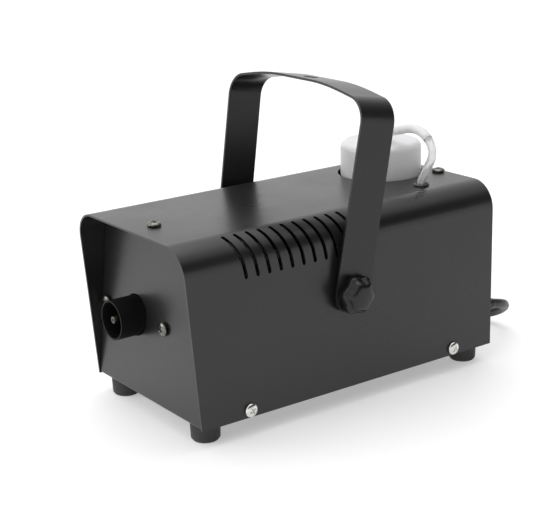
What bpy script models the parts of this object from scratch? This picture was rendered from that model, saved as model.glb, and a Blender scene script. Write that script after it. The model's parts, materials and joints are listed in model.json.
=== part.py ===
"""Small stage fog machine: folded sheet case, heater, pump, fluid bottle, tilting handle and mains lead.

Frame: metres, +Z up, -Y is the nozzle end, +X the side of the pump. The origin is on the floor, at the
middle of the machine's length and width, so the feet stand on z = 0.
"""

import math

import bmesh
import bpy
from mathutils import Matrix, Vector

MM = 0.001
ALONG_X = (0, math.pi / 2, 0)
ALONG_Y = (-math.pi / 2, 0, 0)
ALONG_Z = (0, 0, 0)
PROFILE_YZ = (math.pi / 2, 0, math.pi / 2)  # an outline in (y, z), given thickness along X
PROFILE_XZ = (math.pi / 2, 0, 0)  # an outline in (x, z), given thickness along Y

# Driving dimensions -----------------------------------------------------------------------------
GAP = 0.3 * MM  # between pieces that touch
SHEET = 1.2 * MM
CASE_WIDTH = 122 * MM
CASE_LENGTH = 230.5 * MM
CASE_HEIGHT = 110.5 * MM
CASE_FILLET = 17.5 * MM
VISOR = 8.5 * MM  # how far the cover's front edge leans forward at the top
COVER_CLEARANCE = 0.4 * MM  # between the cover and the chassis inside it
PANEL_LEAN = 0.1  # the front panel's backward lean, per unit of height
PROUD = 11.75 * MM  # how far the nozzle and the fuse cap stand past the case's ends
FOOT_RADIUS = 9.25 * MM
FOOT_HEIGHT = 12 * MM
FOOT_IN_X = 14.7 * MM  # foot centre to the case's side
FOOT_IN_Y = 11.5 * MM  # foot centre to the case's end
SCREW_HEAD = 4.3 * MM
SCREW_SHANK = 1.7 * MM
SCREW_HOLE = 2.1 * MM
SIDE_SCREW_Z = 4.9 * MM  # above the case's bottom edge
SIDE_SCREW_IN_Y = 34.2 * MM  # from the case's ends
LIP_HEIGHT = 14 * MM
TOP_SCREW_X = (4 * MM, 14 * MM)  # the front and the rear screw
TOP_SCREW_IN_Y = (8.5 * MM, 5 * MM)  # from the case's own end
VENT_COUNT = 11
VENT_PITCH = 8.35 * MM
VENT_WIDTH = 2.4 * MM
VENT_LENGTH = 27.4 * MM
VENT_SLANT = math.radians(17)
VENT_DOWN = 4.2 * MM  # slot's middle below the rounded corner's middle, along the slope
FIRST_VENT_IN_Y = 30.6 * MM  # from the case's front end
NOZZLE_X = -18.5 * MM
NOZZLE_HEIGHT = 49.7 * MM  # above the case's bottom edge
SHROUD_RADIUS = 12.5 * MM
SHROUD_WALL = 1.2 * MM
BLOCK_WIDTH = 44 * MM
BLOCK_HEIGHT = 40 * MM
BLOCK_LENGTH = 94 * MM
BLOCK_IN_Y = 16.5 * MM  # block front to the case's front end
WRAP = 3.65 * MM
BRACKET_SCREW_X = 34 * MM  # either side of the nozzle
PIVOT_Y = -6 * MM
PIVOT_HEIGHT = 62.5 * MM  # above the case's bottom edge
HANDLE_TILT = math.radians(9.5)
HANDLE_REACH = 123.5 * MM  # pivot to the bar's top
HANDLE_STRAP = 1.5 * MM
HANDLE_FOOT_WIDTH = 26 * MM
HANDLE_FLARE = 3.1 * MM  # how far each leg leans out from foot to corner
HANDLE_BAR_WIDTH = 25.4 * MM
HANDLE_CORNER = 14.5 * MM
HANDLE_ARCH = 4.5 * MM
HANDLE_FLAT = 16 * MM  # half length of the bar's flat middle
HANDLE_OFF = 3.5 * MM  # strap's inner face to the case's side
HANG_HOLE = 5 * MM
STUD_RADIUS = 2.5 * MM
KNOB_RADIUS = 12.5 * MM
KNOB_DEPTH = 11 * MM
KNOB_LOBES = 6
BOTTLE_X = -12.2 * MM
BOTTLE_IN_Y = 33.35 * MM  # from the case's rear end
BOTTLE_RADIUS = 26.9 * MM
BOTTLE_WALL = 1.3 * MM
BOTTLE_NECK = 22.5 * MM
CAP_RADIUS = 27.1 * MM
CAP_RISE = 22 * MM  # above the case's top
CAP_DEPTH = 25.6 * MM
WELL_CLEARANCE = 1.9 * MM
TUBE_RADIUS = 2.8 * MM
TUBE_IN_X = 26.7 * MM  # the tube's entry to the case's side
TUBE_IN_Y = 38.45 * MM  # and to the case's rear end
TUBE_INNER_END = 50 * MM
PUMP_IN_X = 26 * MM
PUMP_IN_Y = 61.25 * MM  # pump's rear end to the case's rear end
PUMP_Z = 36 * MM
PUMP_LENGTH = 52 * MM
BOARD_WIDTH = 40 * MM
BOARD_LENGTH = 56 * MM
BOARD_IN_X = 7 * MM
BOARD_RISE = 8 * MM  # over the case's floor
BOARD_THICK = 1.6 * MM
SWITCH_IN_X = 23 * MM  # each rear fitting's centre to the near side of the case
SWITCH_HEIGHT = 80 * MM  # and above the case's bottom edge
SWITCH_BODY_X = 6.2 * MM
SWITCH_BODY_Z = 9.2 * MM
SWITCH_THROW = math.radians(10)
FUSE_IN_X = 23 * MM
FUSE_HEIGHT = 48 * MM
FUSE_BARREL = 5.8 * MM
FUSE_BORE = 4.6 * MM
SOCKET_IN_X = 12 * MM
SOCKET_HEIGHT = 58 * MM
SOCKET_BARREL = 6.6 * MM
LAMP_IN_X = 12 * MM
LAMP_HEIGHT = 83 * MM
LAMP_BARREL = 3 * MM
GLAND_NECK = 5.4 * MM
CORD_RADIUS = 3.3 * MM
CORD_X = 38 * MM
CORD_Z = 31 * MM
COIL_MEAN_RADIUS = 37.6 * MM
COIL_X = -66 * MM
COIL_BEHIND = 50.85 * MM  # the coil's middle behind the case's rear
RELIEF_RADIUS = 4.6 * MM
# In millimetres: how far along and how far down each point of the strain relief is.
RELIEF_BEND = ((6, 0.1), (12, 0.5), (17, 1.2), (22, 2.2))
RELIEF_TAPER = (1, 0.95, 0.89, 0.82, 0.75)
# In millimetres: (x, how far behind the case's rear, z) of the lead, from the relief down to the floor.
LEAD_ROUTE = (
    (37.2, 31.8, 26.9), (33, 40.8, 23.3), (26.1, 47.7, 18.1), (17.2, 51.8, 12.5), (7.6, 52.6, 7.8),
    (-1.8, 50.2, 4.8), (-9.8, 44.6, 3.6), (-16.2, 38.2, 3.4))
# In millimetres: how far behind the coil's middle each point of its tail is, and how high.
TAIL_ROUTE = ((26, 11.3), (32, 12.2), (37, 12.3), (41, 12.3))

# What follows from them -------------------------------------------------------------------------
HALF = CASE_WIDTH / 2
REAR = CASE_LENGTH / 2
FRONT = -REAR
BOTTOM = FOOT_HEIGHT
TOP = BOTTOM + CASE_HEIGHT
INSIDE = HALF - SHEET - COVER_CLEARANCE
INSIDE_TOP = TOP - SHEET - COVER_CLEARANCE
FLOOR_LOW = BOTTOM + GAP
FLOOR_TOP = FLOOR_LOW + SHEET
COIL_Y = REAR + COIL_BEHIND
PANEL_OUT = REAR - 0.8 * MM
PANEL_IN = PANEL_OUT - SHEET
NOZZLE_Z = BOTTOM + NOZZLE_HEIGHT
PIVOT_Z = BOTTOM + PIVOT_HEIGHT
STRAP_IN = HALF + HANDLE_OFF
STRAP_OUT = STRAP_IN + HANDLE_STRAP
BOTTLE_Y = REAR - BOTTLE_IN_Y
TUBE_X = HALF - TUBE_IN_X
TUBE_Y = REAR - TUBE_IN_Y
PUMP_X = HALF - PUMP_IN_X
PUMP_REAR = REAR - PUMP_IN_Y
PUMP_FRONT = PUMP_REAR - PUMP_LENGTH
BOARD_LOW = FLOOR_TOP + BOARD_RISE
SWITCH_X = HALF - SWITCH_IN_X
SWITCH_Z = BOTTOM + SWITCH_HEIGHT
FUSE_X = HALF - FUSE_IN_X
FUSE_Z = BOTTOM + FUSE_HEIGHT
SOCKET_X = SOCKET_IN_X - HALF
SOCKET_Z = BOTTOM + SOCKET_HEIGHT
LAMP_X = LAMP_IN_X - HALF
LAMP_Z = BOTTOM + LAMP_HEIGHT
SEAT = PANEL_OUT + GAP  # where a rear fitting's flange rests
BLOCK_FRONT = FRONT + BLOCK_IN_Y
BLOCK_REAR = BLOCK_FRONT + BLOCK_LENGTH

MATERIALS = {}
PARTS = bpy.data.collections.new("fog_machine")
CUTTERS = bpy.data.collections.new("fog_machine_cutters")


def clear_scene():
    for old in list(bpy.data.objects):
        bpy.data.objects.remove(old, do_unlink=True)
    bpy.context.scene.collection.children.link(PARTS)
    bpy.context.scene.collection.children.link(CUTTERS)


def material(name, colour, roughness, metallic=0.0):
    made = bpy.data.materials.new(name)
    made.use_nodes = True
    shader = made.node_tree.nodes["Principled BSDF"]
    shader.inputs["Base Color"].default_value = (*colour, 1)
    shader.inputs["Roughness"].default_value = roughness
    shader.inputs["Metallic"].default_value = metallic
    MATERIALS[name] = made


def make_materials():
    material("black_paint", (0.03, 0.03, 0.032), 0.35)
    material("screw_steel", (0.6, 0.6, 0.62), 0.3, 1.0)
    material("black_screw", (0.05, 0.05, 0.055), 0.35, 1.0)
    material("zinc_sheet", (0.55, 0.56, 0.58), 0.4, 1.0)
    material("rubber", (0.02, 0.02, 0.02), 0.8)
    material("black_plastic", (0.025, 0.025, 0.027), 0.45)
    material("white_plastic", (0.75, 0.76, 0.76), 0.4)
    material("silicone", (0.8, 0.82, 0.82), 0.25)
    material("brass", (0.7, 0.5, 0.2), 0.3, 1.0)
    material("cast_aluminium", (0.55, 0.55, 0.55), 0.5, 1.0)
    material("insulation", (0.75, 0.72, 0.62), 0.9)
    material("copper_coil", (0.6, 0.25, 0.1), 0.4, 1.0)
    material("circuit_board", (0.02, 0.2, 0.08), 0.5)
    material("clear_glass", (0.8, 0.85, 0.85), 0.05)
    material("lamp_red", (0.6, 0.03, 0.02), 0.2)
    material("cord_pvc", (0.02, 0.02, 0.02), 0.5)


def place(obj, paint, cutter=False):
    """Puts an object in its collection, with its material, or marks it as a cutter."""
    for owner in list(obj.users_collection):
        owner.objects.unlink(obj)
    if cutter:
        CUTTERS.objects.link(obj)
        obj.hide_render = True
        obj.display_type = "WIRE"
        return obj
    PARTS.objects.link(obj)
    obj.data.materials.clear()
    obj.data.materials.append(MATERIALS[paint])
    if obj.type == "MESH":
        obj.data.shade_smooth()
        obj.data.set_sharp_from_angle(angle=math.radians(35))
    return obj


def box(name, low, high, paint=None):
    """A box between two corners. Without a paint it is a cutter."""
    bpy.ops.mesh.primitive_cube_add(size=1)
    obj = bpy.context.object
    obj.name = name
    low, high = Vector(low), Vector(high)
    obj.data.transform(Matrix.Diagonal((*(high - low), 1)))
    obj.location = (low + high) / 2
    return place(obj, paint, paint is None)


def rod(name, start, radius, length, turn, paint=None, sides=16):
    """A cylinder from a start point along a turned Z axis. Without a paint it is a cutter."""
    bpy.ops.mesh.primitive_cylinder_add(vertices=sides, radius=radius, depth=length)
    obj = bpy.context.object
    obj.name = name
    obj.data.transform(Matrix.Translation((0, 0, length / 2)))
    obj.rotation_euler = turn
    obj.location = start
    return place(obj, paint, paint is None)


def turned(name, profile, at, turn, paint, steps=16):
    """A solid of revolution about a turned Z axis. The (radius, height) points run down the outer side."""
    mesh = bpy.data.meshes.new(name)
    made = bmesh.new()
    points = [made.verts.new((radius, 0, height)) for radius, height in profile]
    for first, second in zip(points, points[1:]):
        made.edges.new((first, second))
    if profile[0][0] > 0:
        made.edges.new((points[-1], points[0]))
    made.to_mesh(mesh)
    made.free()
    obj = bpy.data.objects.new(name, mesh)
    obj.rotation_euler = turn
    obj.location = at
    screw = obj.modifiers.new("turn", "SCREW")
    screw.steps = steps
    screw.render_steps = steps
    screw.use_merge_vertices = True
    screw.merge_threshold = 0.00001
    screw.use_smooth_shade = True
    return place(obj, paint)


def meshed(curve, name, paint):
    """The curve's own mesh as a new object, its caps welded on."""
    bpy.context.scene.collection.objects.link(curve)
    bpy.context.view_layer.update()
    seen = curve.evaluated_get(bpy.context.evaluated_depsgraph_get())
    mesh = bpy.data.meshes.new_from_object(seen)
    welded = bmesh.new()
    welded.from_mesh(mesh)
    bmesh.ops.remove_doubles(welded, verts=welded.verts, dist=0.000005)
    welded.to_mesh(mesh)
    welded.free()
    where = curve.matrix_world.copy()
    bpy.data.objects.remove(curve, do_unlink=True)
    obj = bpy.data.objects.new(name, mesh)
    obj.matrix_world = where
    return place(obj, paint, paint is None)


def plate(name, outline, thickness, at, turn, paint=None):
    """A flat outline given a thickness about its own plane. Without a paint it is a cutter."""
    data = bpy.data.curves.new(name, "CURVE")
    data.dimensions = "2D"
    data.fill_mode = "BOTH"
    data.extrude = thickness / 2
    spline = data.splines.new("POLY")
    spline.points.add(len(outline) - 1)
    for point, (across, up) in zip(spline.points, outline):
        point.co = (across, up, 0, 1)
    spline.use_cyclic_u = True
    curve = bpy.data.objects.new(name, data)
    curve.rotation_euler = turn
    curve.location = at
    return meshed(curve, name, paint)


def tube(name, points, radius, paint, taper=None, resolution=2):
    """A round tube along points. A taper gives each point's share of the radius."""
    data = bpy.data.curves.new(name, "CURVE")
    data.dimensions = "3D"
    data.bevel_depth = radius
    data.bevel_resolution = resolution
    data.use_fill_caps = True
    spline = data.splines.new("POLY")
    spline.points.add(len(points) - 1)
    for index, point in enumerate(points):
        spline.points[index].co = (*point, 1)
        spline.points[index].radius = taper[index] if taper else 1
    return meshed(bpy.data.objects.new(name, data), name, paint)


def smooth_route(knots, spacing):
    """Points a fixed distance apart, near enough, on one smooth curve through the knots."""
    knots = [Vector(knot) for knot in knots]
    padded = [2 * knots[0] - knots[1], *knots, 2 * knots[-1] - knots[-2]]
    route = [knots[0]]
    for before, start, end, after in zip(padded, padded[1:], padded[2:], padded[3:]):
        count = max(1, round((end - start).length / spacing))
        for step in range(1, count + 1):
            t = step / count
            route.append(
                0.5 * (2 * start + (end - before) * t
                       + (2 * before - 5 * start + 4 * end - after) * t ** 2
                       + (3 * start - before - 3 * end + after) * t ** 3)
            )
    return route


def boolean(obj, others, operation="DIFFERENCE"):
    """Cuts, joins or trims an object with helper solids."""
    group = bpy.data.collections.new(f"{operation.lower()}_{obj.name}")
    CUTTERS.children.link(group)
    for other in others:
        CUTTERS.objects.unlink(other)
        group.objects.link(other)
        if operation == "DIFFERENCE":
            continue
        joined = obj.modifiers.new(operation.lower(), "BOOLEAN")
        joined.operation = operation
        joined.object = other
        joined.solver = "EXACT"
    if operation == "DIFFERENCE":
        cut = obj.modifiers.new("cut", "BOOLEAN")
        cut.operation = operation
        cut.operand_type = "COLLECTION"
        cut.collection = group
        cut.solver = "EXACT"
    return obj


def arc(centre, radius, start, end, steps):
    """Points on an arc in the plane, between two angles in degrees."""
    turns = [math.radians(start + (end - start) * i / steps) for i in range(steps + 1)]
    return [(centre[0] + radius * math.cos(t), centre[1] + radius * math.sin(t)) for t in turns]


def arch_outline(half, low, top, radius, steps):
    """An upright outline with a flat bottom and two rounded top corners."""
    return [
        (-half, low),
        (half, low),
        *arc((half - radius, top - radius), radius, 0, 90, steps),
        *arc((radius - half, top - radius), radius, 90, 180, steps),
    ]


def panel_front(z):
    """The front panel's outer face at a height."""
    return FRONT + GAP + PANEL_LEAN * (z - BOTTOM)


def foot_places():
    return [
        (side * (HALF - FOOT_IN_X), end * (REAR - FOOT_IN_Y))
        for side in (1, -1)
        for end in (-1, 1)
    ]


def make_cover():
    """The inverted U of sheet metal, slanted at the front, with its vents and holes."""
    name = "cover"
    outline = arch_outline(HALF, BOTTOM, TOP, CASE_FILLET, 6)[1:] + [(-HALF, BOTTOM)]
    mesh = bpy.data.meshes.new(name)
    made = bmesh.new()
    rows = []
    for x, z in outline:
        front = FRONT - VISOR * (z - BOTTOM) / CASE_HEIGHT
        rows.append((made.verts.new((x, front, z)), made.verts.new((x, REAR, z))))
    for (a, b), (c, d) in zip(rows, rows[1:]):
        made.faces.new((a, b, d, c))
    made.to_mesh(mesh)
    made.free()
    cover = bpy.data.objects.new(name, mesh)
    wall = cover.modifiers.new("sheet", "SOLIDIFY")
    wall.thickness = SHEET
    wall.offset = -1
    wall.use_even_offset = True
    place(cover, "black_paint")
    through = 4 * SHEET
    holes = vent_cutters()
    for side in (1, -1):
        for y in (FRONT + SIDE_SCREW_IN_Y, REAR - SIDE_SCREW_IN_Y):
            start = (side * HALF - through / 2, y, BOTTOM + SIDE_SCREW_Z)
            holes.append(rod("cover_side_hole", start, SCREW_HOLE, through, ALONG_X, sides=8))
        start = (side * HALF - through / 2, PIVOT_Y, PIVOT_Z)
        holes.append(rod("cover_pivot_hole", start, STUD_RADIUS + GAP, through, ALONG_X, sides=12))
    for x, y in top_screw_places():
        start = (x, y, TOP - through / 2)
        holes.append(rod("cover_top_hole", start, SCREW_HOLE, through, ALONG_Z, sides=8))
    start = (BOTTLE_X, BOTTLE_Y, TOP - through / 2)
    well = CAP_RADIUS + WELL_CLEARANCE
    holes.append(rod("cover_bottle_hole", start, well, through, ALONG_Z, sides=36))
    start = (TUBE_X, TUBE_Y, TOP - through / 2)
    holes.append(rod("cover_tube_hole", start, TUBE_RADIUS + 1.6 * MM, through, ALONG_Z, sides=12))
    boolean(cover, holes)


def vent_cutters():
    """Slanted round-ended slots across the top corner on both sides."""
    found = []
    half_run = VENT_LENGTH / 2 - VENT_WIDTH / 2
    slot = [
        *[(half_run + x, y) for x, y in arc((0, 0), VENT_WIDTH / 2, -90, 90, 4)],
        *[(x - half_run, y) for x, y in arc((0, 0), VENT_WIDTH / 2, 90, 270, 4)],
    ]
    deep = 1.5 * CASE_FILLET
    corner = HALF - CASE_FILLET * (1 - math.sqrt(0.5)), TOP - CASE_FILLET * (1 - math.sqrt(0.5))
    for side in (1, -1):
        for index in range(VENT_COUNT):
            y = FRONT + FIRST_VENT_IN_Y + index * VENT_PITCH
            lower = Vector((side, 0, -1)).normalized()
            outward = Vector((side, 0, 1)).normalized()
            across = Vector((0, 1, 0))
            run = (lower * math.cos(VENT_SLANT) + across * math.sin(VENT_SLANT)).normalized()
            wide = outward.cross(run)
            turn = Matrix((run, wide, outward)).transposed().to_euler()
            middle = Vector((side * corner[0], y, corner[1])) + lower * VENT_DOWN
            found.append(plate("vent_slot", slot, deep, middle, turn))
    return found


def top_screw_places():
    front_in, rear_in = TOP_SCREW_IN_Y
    return [(TOP_SCREW_X[0], FRONT + front_in), (TOP_SCREW_X[1], REAR - rear_in)]


def make_chassis():
    """Floor, leaning front panel and rear panel folded from one sheet, with side and top lips."""
    lean = math.sqrt(1 + PANEL_LEAN ** 2) * SHEET
    outline = [
        (panel_front(FLOOR_LOW), FLOOR_LOW),
        (PANEL_OUT, FLOOR_LOW),
        (PANEL_OUT, INSIDE_TOP),
        (PANEL_IN, INSIDE_TOP),
        (PANEL_IN, FLOOR_TOP),
        (panel_front(FLOOR_TOP) + lean, FLOOR_TOP),
        (panel_front(INSIDE_TOP) + lean, INSIDE_TOP),
        (panel_front(INSIDE_TOP), INSIDE_TOP),
    ]
    chassis = plate("chassis", outline, 2 * INSIDE, (0, 0, 0), PROFILE_YZ, "black_paint")
    inner_fillet = CASE_FILLET - SHEET - COVER_CLEARANCE
    envelope = arch_outline(INSIDE, BOTTOM - 5 * MM, INSIDE_TOP, inner_fillet, 6)
    helper = plate("chassis_envelope", envelope, CASE_LENGTH * 2, (0, 0, 0), PROFILE_XZ)
    boolean(chassis, [helper], "INTERSECT")
    added = []
    lip_in = 14 * MM
    for side in (1, -1):
        inner, outer = sorted((side * (INSIDE - SHEET), side * INSIDE))
        low = (inner, FRONT + lip_in, FLOOR_LOW + SHEET / 2)
        added.append(box("side_lip", low, (outer, REAR - lip_in, FLOOR_LOW + LIP_HEIGHT)))
    lip_half = 20 * MM
    lip_deep = 10.5 * MM
    (front_x, _), (rear_x, _) = top_screw_places()
    under = INSIDE_TOP - SHEET
    face = panel_front(INSIDE_TOP)
    low = (front_x - lip_half, face - lip_deep, under)
    added.append(box("front_top_lip", low, (front_x + lip_half, face + SHEET / 2, INSIDE_TOP)))
    low = (rear_x - lip_half, PANEL_IN - lip_deep, under)
    added.append(box("rear_top_lip", low, (rear_x + lip_half, PANEL_IN + SHEET / 2, INSIDE_TOP)))
    for x, y in board_boss_places():
        start = (x, y, FLOOR_LOW + SHEET / 2)
        added.append(rod("board_boss", start, 2.5 * MM, BOARD_LOW - GAP - start[2], ALONG_Z, sides=8))
    boolean(chassis, added, "UNION")
    through = 4 * SHEET
    holes = []
    for side in (1, -1):
        for y in (FRONT + SIDE_SCREW_IN_Y, REAR - SIDE_SCREW_IN_Y):
            start = (side * (INSIDE - SHEET / 2) - through / 2, y, BOTTOM + SIDE_SCREW_Z)
            holes.append(rod("lip_hole", start, SCREW_HOLE, through, ALONG_X, sides=8))
    for x, y in top_screw_places():
        start = (x, y, INSIDE_TOP - SHEET / 2 - through / 2)
        holes.append(rod("top_lip_hole", start, SCREW_HOLE, through, ALONG_Z, sides=8))
    start = (BOTTLE_X, BOTTLE_Y, INSIDE_TOP - 2 * through)
    well = CAP_RADIUS + WELL_CLEARANCE
    holes.append(rod("lip_bottle_hole", start, well, 4 * through, ALONG_Z, sides=24))
    for x, y in foot_places():
        start = (x, y, FLOOR_LOW + SHEET / 2 - through / 2)
        holes.append(rod("foot_hole", start, SCREW_HOLE, through, ALONG_Z, sides=8))
    deep = 12 * MM
    face = panel_front(NOZZLE_Z) - deep / 2
    start = (NOZZLE_X, face, NOZZLE_Z)
    holes.append(rod("nozzle_hole", start, SHROUD_RADIUS + 0.6 * MM, deep, ALONG_Y, sides=24))
    for side in (1, -1):
        start = (NOZZLE_X + side * BRACKET_SCREW_X, face, NOZZLE_Z)
        holes.append(rod("bracket_hole", start, SCREW_HOLE, deep, ALONG_Y, sides=8))
    start_y = PANEL_IN - through / 2
    for x, z, radius in ((CORD_X, CORD_Z, GLAND_NECK + GAP), (FUSE_X, FUSE_Z, FUSE_BARREL + GAP),
                         (SOCKET_X, SOCKET_Z, SOCKET_BARREL + GAP), (LAMP_X, LAMP_Z, LAMP_BARREL + GAP)):
        holes.append(rod("panel_hole", (x, start_y, z), radius, through, ALONG_Y, sides=16))
    low = (SWITCH_X - SWITCH_BODY_X - GAP, start_y, SWITCH_Z - SWITCH_BODY_Z - GAP)
    high = (SWITCH_X + SWITCH_BODY_X + GAP, start_y + through, SWITCH_Z + SWITCH_BODY_Z + GAP)
    holes.append(box("switch_hole", low, high))
    boolean(chassis, holes)


def make_feet():
    """Four rubber feet, each hollow for its screw."""
    edge = 1.6 * MM
    bore = 4.4 * MM
    floor = 5 * MM
    top = FOOT_HEIGHT
    profile = [
        (SCREW_HOLE, top),
        (FOOT_RADIUS, top),
        (FOOT_RADIUS - 0.4 * MM, edge),
        (FOOT_RADIUS - edge, 0),
        (bore, 0),
        (bore, floor),
        (SCREW_HOLE, floor),
    ]
    for index, (x, y) in enumerate(foot_places(), 1):
        turned(f"foot_{index}", profile, (x, y, 0), ALONG_Z, "rubber", 20)


def pan_screw(name, at, turn, paint, length=7 * MM, sides=12):
    """A pan-head screw whose head's underside is at its origin, head towards +Z."""
    high = 2.5 * MM
    profile = [
        (0, high),
        (SCREW_HEAD * 0.6, high * 0.9),
        (SCREW_HEAD * 0.95, high * 0.45),
        (SCREW_HEAD, 0),
        (SCREW_SHANK, 0),
        (SCREW_SHANK, 0.8 * MM - length),
        (0, -length),
    ]
    return turned(name, profile, at, turn, paint, sides)


def make_case_screws():
    number = 1
    for side, turn in ((1, ALONG_X), (-1, (0, -math.pi / 2, 0))):
        for y in (FRONT + SIDE_SCREW_IN_Y, REAR - SIDE_SCREW_IN_Y):
            at = (side * (HALF + GAP), y, BOTTOM + SIDE_SCREW_Z)
            pan_screw(f"cover_side_screw_{number}", at, turn, "screw_steel")
            number += 1
    for number, (x, y) in enumerate(top_screw_places(), 1):
        pan_screw(f"cover_top_screw_{number}", (x, y, TOP + GAP), ALONG_Z, "black_screw")
    for number, side in enumerate((-1, 1), 1):
        face = panel_front(NOZZLE_Z) - SCREW_HEAD * PANEL_LEAN - GAP
        at = (NOZZLE_X + side * BRACKET_SCREW_X, face, NOZZLE_Z)
        turn = (math.pi / 2, 0, 0)
        pan_screw(f"nozzle_bracket_screw_{number}", at, turn, "black_screw")


def make_nozzle():
    """The tube that stands out of the front panel, and the brass tip inside it."""
    inner = SHROUD_RADIUS - SHROUD_WALL
    mouth = FRONT - PROUD
    flange = SHROUD_RADIUS + 2.5 * MM
    length = BLOCK_FRONT - GAP - mouth
    profile = [
        (inner, length),
        (flange, length),
        (flange, length - 1 * MM),
        (SHROUD_RADIUS, length - 1 * MM),
        (SHROUD_RADIUS, 0),
        (inner, 0),
    ]
    turned("nozzle_shroud", profile, (NOZZLE_X, mouth, NOZZLE_Z), ALONG_Y, "black_paint", 32)
    tip_from_mouth = 1 * MM
    collar = 4.5 * MM
    shank = 12 * MM
    reach = BLOCK_FRONT - mouth - tip_from_mouth
    fine = 0.7 * MM
    profile = [
        (fine, reach + shank),
        (3.6 * MM, reach + shank),
        (3.6 * MM, reach - GAP),
        (6.5 * MM, reach - GAP),
        (6.5 * MM, reach - collar),
        (3.2 * MM, reach - collar),
        (3.2 * MM, 5 * MM),
        (2.2 * MM, 0),
        (fine, 0),
    ]
    at = (NOZZLE_X, mouth + tip_from_mouth, NOZZLE_Z)
    turned("nozzle_tip", profile, at, ALONG_Y, "brass", 12)


def make_heater():
    """Heater block with its bores, element, wrap, thermostat and the two supports."""
    half_x = BLOCK_WIDTH / 2
    half_z = BLOCK_HEIGHT / 2
    low = (NOZZLE_X - half_x, BLOCK_FRONT, NOZZLE_Z - half_z)
    high = (NOZZLE_X + half_x, BLOCK_REAR, NOZZLE_Z + half_z)
    block = box("heater_block", low, high, "cast_aluminium")
    element_x = NOZZLE_X - 11 * MM
    element_z = NOZZLE_Z - 11 * MM
    element_radius = 4 * MM
    over = 2 * MM
    blind = 8 * MM
    boolean(block, [
        rod("fluid_bore", (NOZZLE_X, BLOCK_FRONT - over, NOZZLE_Z), 2 * MM,
            BLOCK_LENGTH + 2 * over, ALONG_Y, sides=8),
        rod("tip_bore", (NOZZLE_X, BLOCK_FRONT - over, NOZZLE_Z), 4 * MM,
            14 * MM + over, ALONG_Y, sides=12),
        rod("element_bore", (element_x, BLOCK_FRONT + blind, element_z), element_radius + GAP,
            BLOCK_LENGTH, ALONG_Y, sides=12),
    ])
    length = BLOCK_LENGTH - blind + 5 * MM
    profile = [
        (0, length + 6 * MM),
        (2.6 * MM, length + 6 * MM),
        (2.6 * MM, length),
        (element_radius, length),
        (element_radius, 0),
        (0, 0),
    ]
    at = (element_x, BLOCK_FRONT + blind + GAP, element_z)
    turned("heating_element", profile, at, ALONG_Y, "screw_steel", 12)
    wrap_in = 0.35 * MM
    wrap_short = 4 * MM
    wrap_x = half_x + wrap_in + WRAP
    wrap_z = half_z + wrap_in + WRAP
    low = (NOZZLE_X - wrap_x, BLOCK_FRONT + wrap_short, NOZZLE_Z - wrap_z)
    high = (NOZZLE_X + wrap_x, BLOCK_REAR - wrap_short, NOZZLE_Z + wrap_z)
    wrap = box("heater_wrap", low, high, "insulation")
    disc = 8.3 * MM
    disc_y = BLOCK_FRONT + BLOCK_LENGTH / 2
    low = (NOZZLE_X - half_x - wrap_in, BLOCK_FRONT - over, NOZZLE_Z - half_z - wrap_in)
    high = (NOZZLE_X + half_x + wrap_in, BLOCK_REAR + over, NOZZLE_Z + half_z + wrap_in)
    boolean(wrap, [
        box("wrap_hollow", low, high),
        rod("thermostat_hole", (NOZZLE_X, disc_y, NOZZLE_Z), disc + 0.7 * MM, 60 * MM, ALONG_Z),
    ])
    top = NOZZLE_Z + half_z + GAP
    profile = [(0, 11 * MM), (5.5 * MM, 11 * MM), (5.5 * MM, 7 * MM), (disc, 7 * MM), (disc, 0), (0, 0)]
    turned("thermostat", profile, (NOZZLE_X, disc_y, top), ALONG_Z, "screw_steel", 12)
    make_heater_bracket(wrap_x)
    stand_y = BLOCK_REAR - 10 * MM
    stand_top = NOZZLE_Z - wrap_z - GAP
    base = FLOOR_TOP + GAP
    outline = [
        (stand_y, base),
        (stand_y + 14 * MM, base),
        (stand_y + 14 * MM, base + SHEET),
        (stand_y + SHEET, base + SHEET),
        (stand_y + SHEET, stand_top),
        (stand_y, stand_top),
    ]
    plate("heater_stand", outline, 40 * MM, (NOZZLE_X, 0, 0), PROFILE_YZ, "zinc_sheet")


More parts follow.
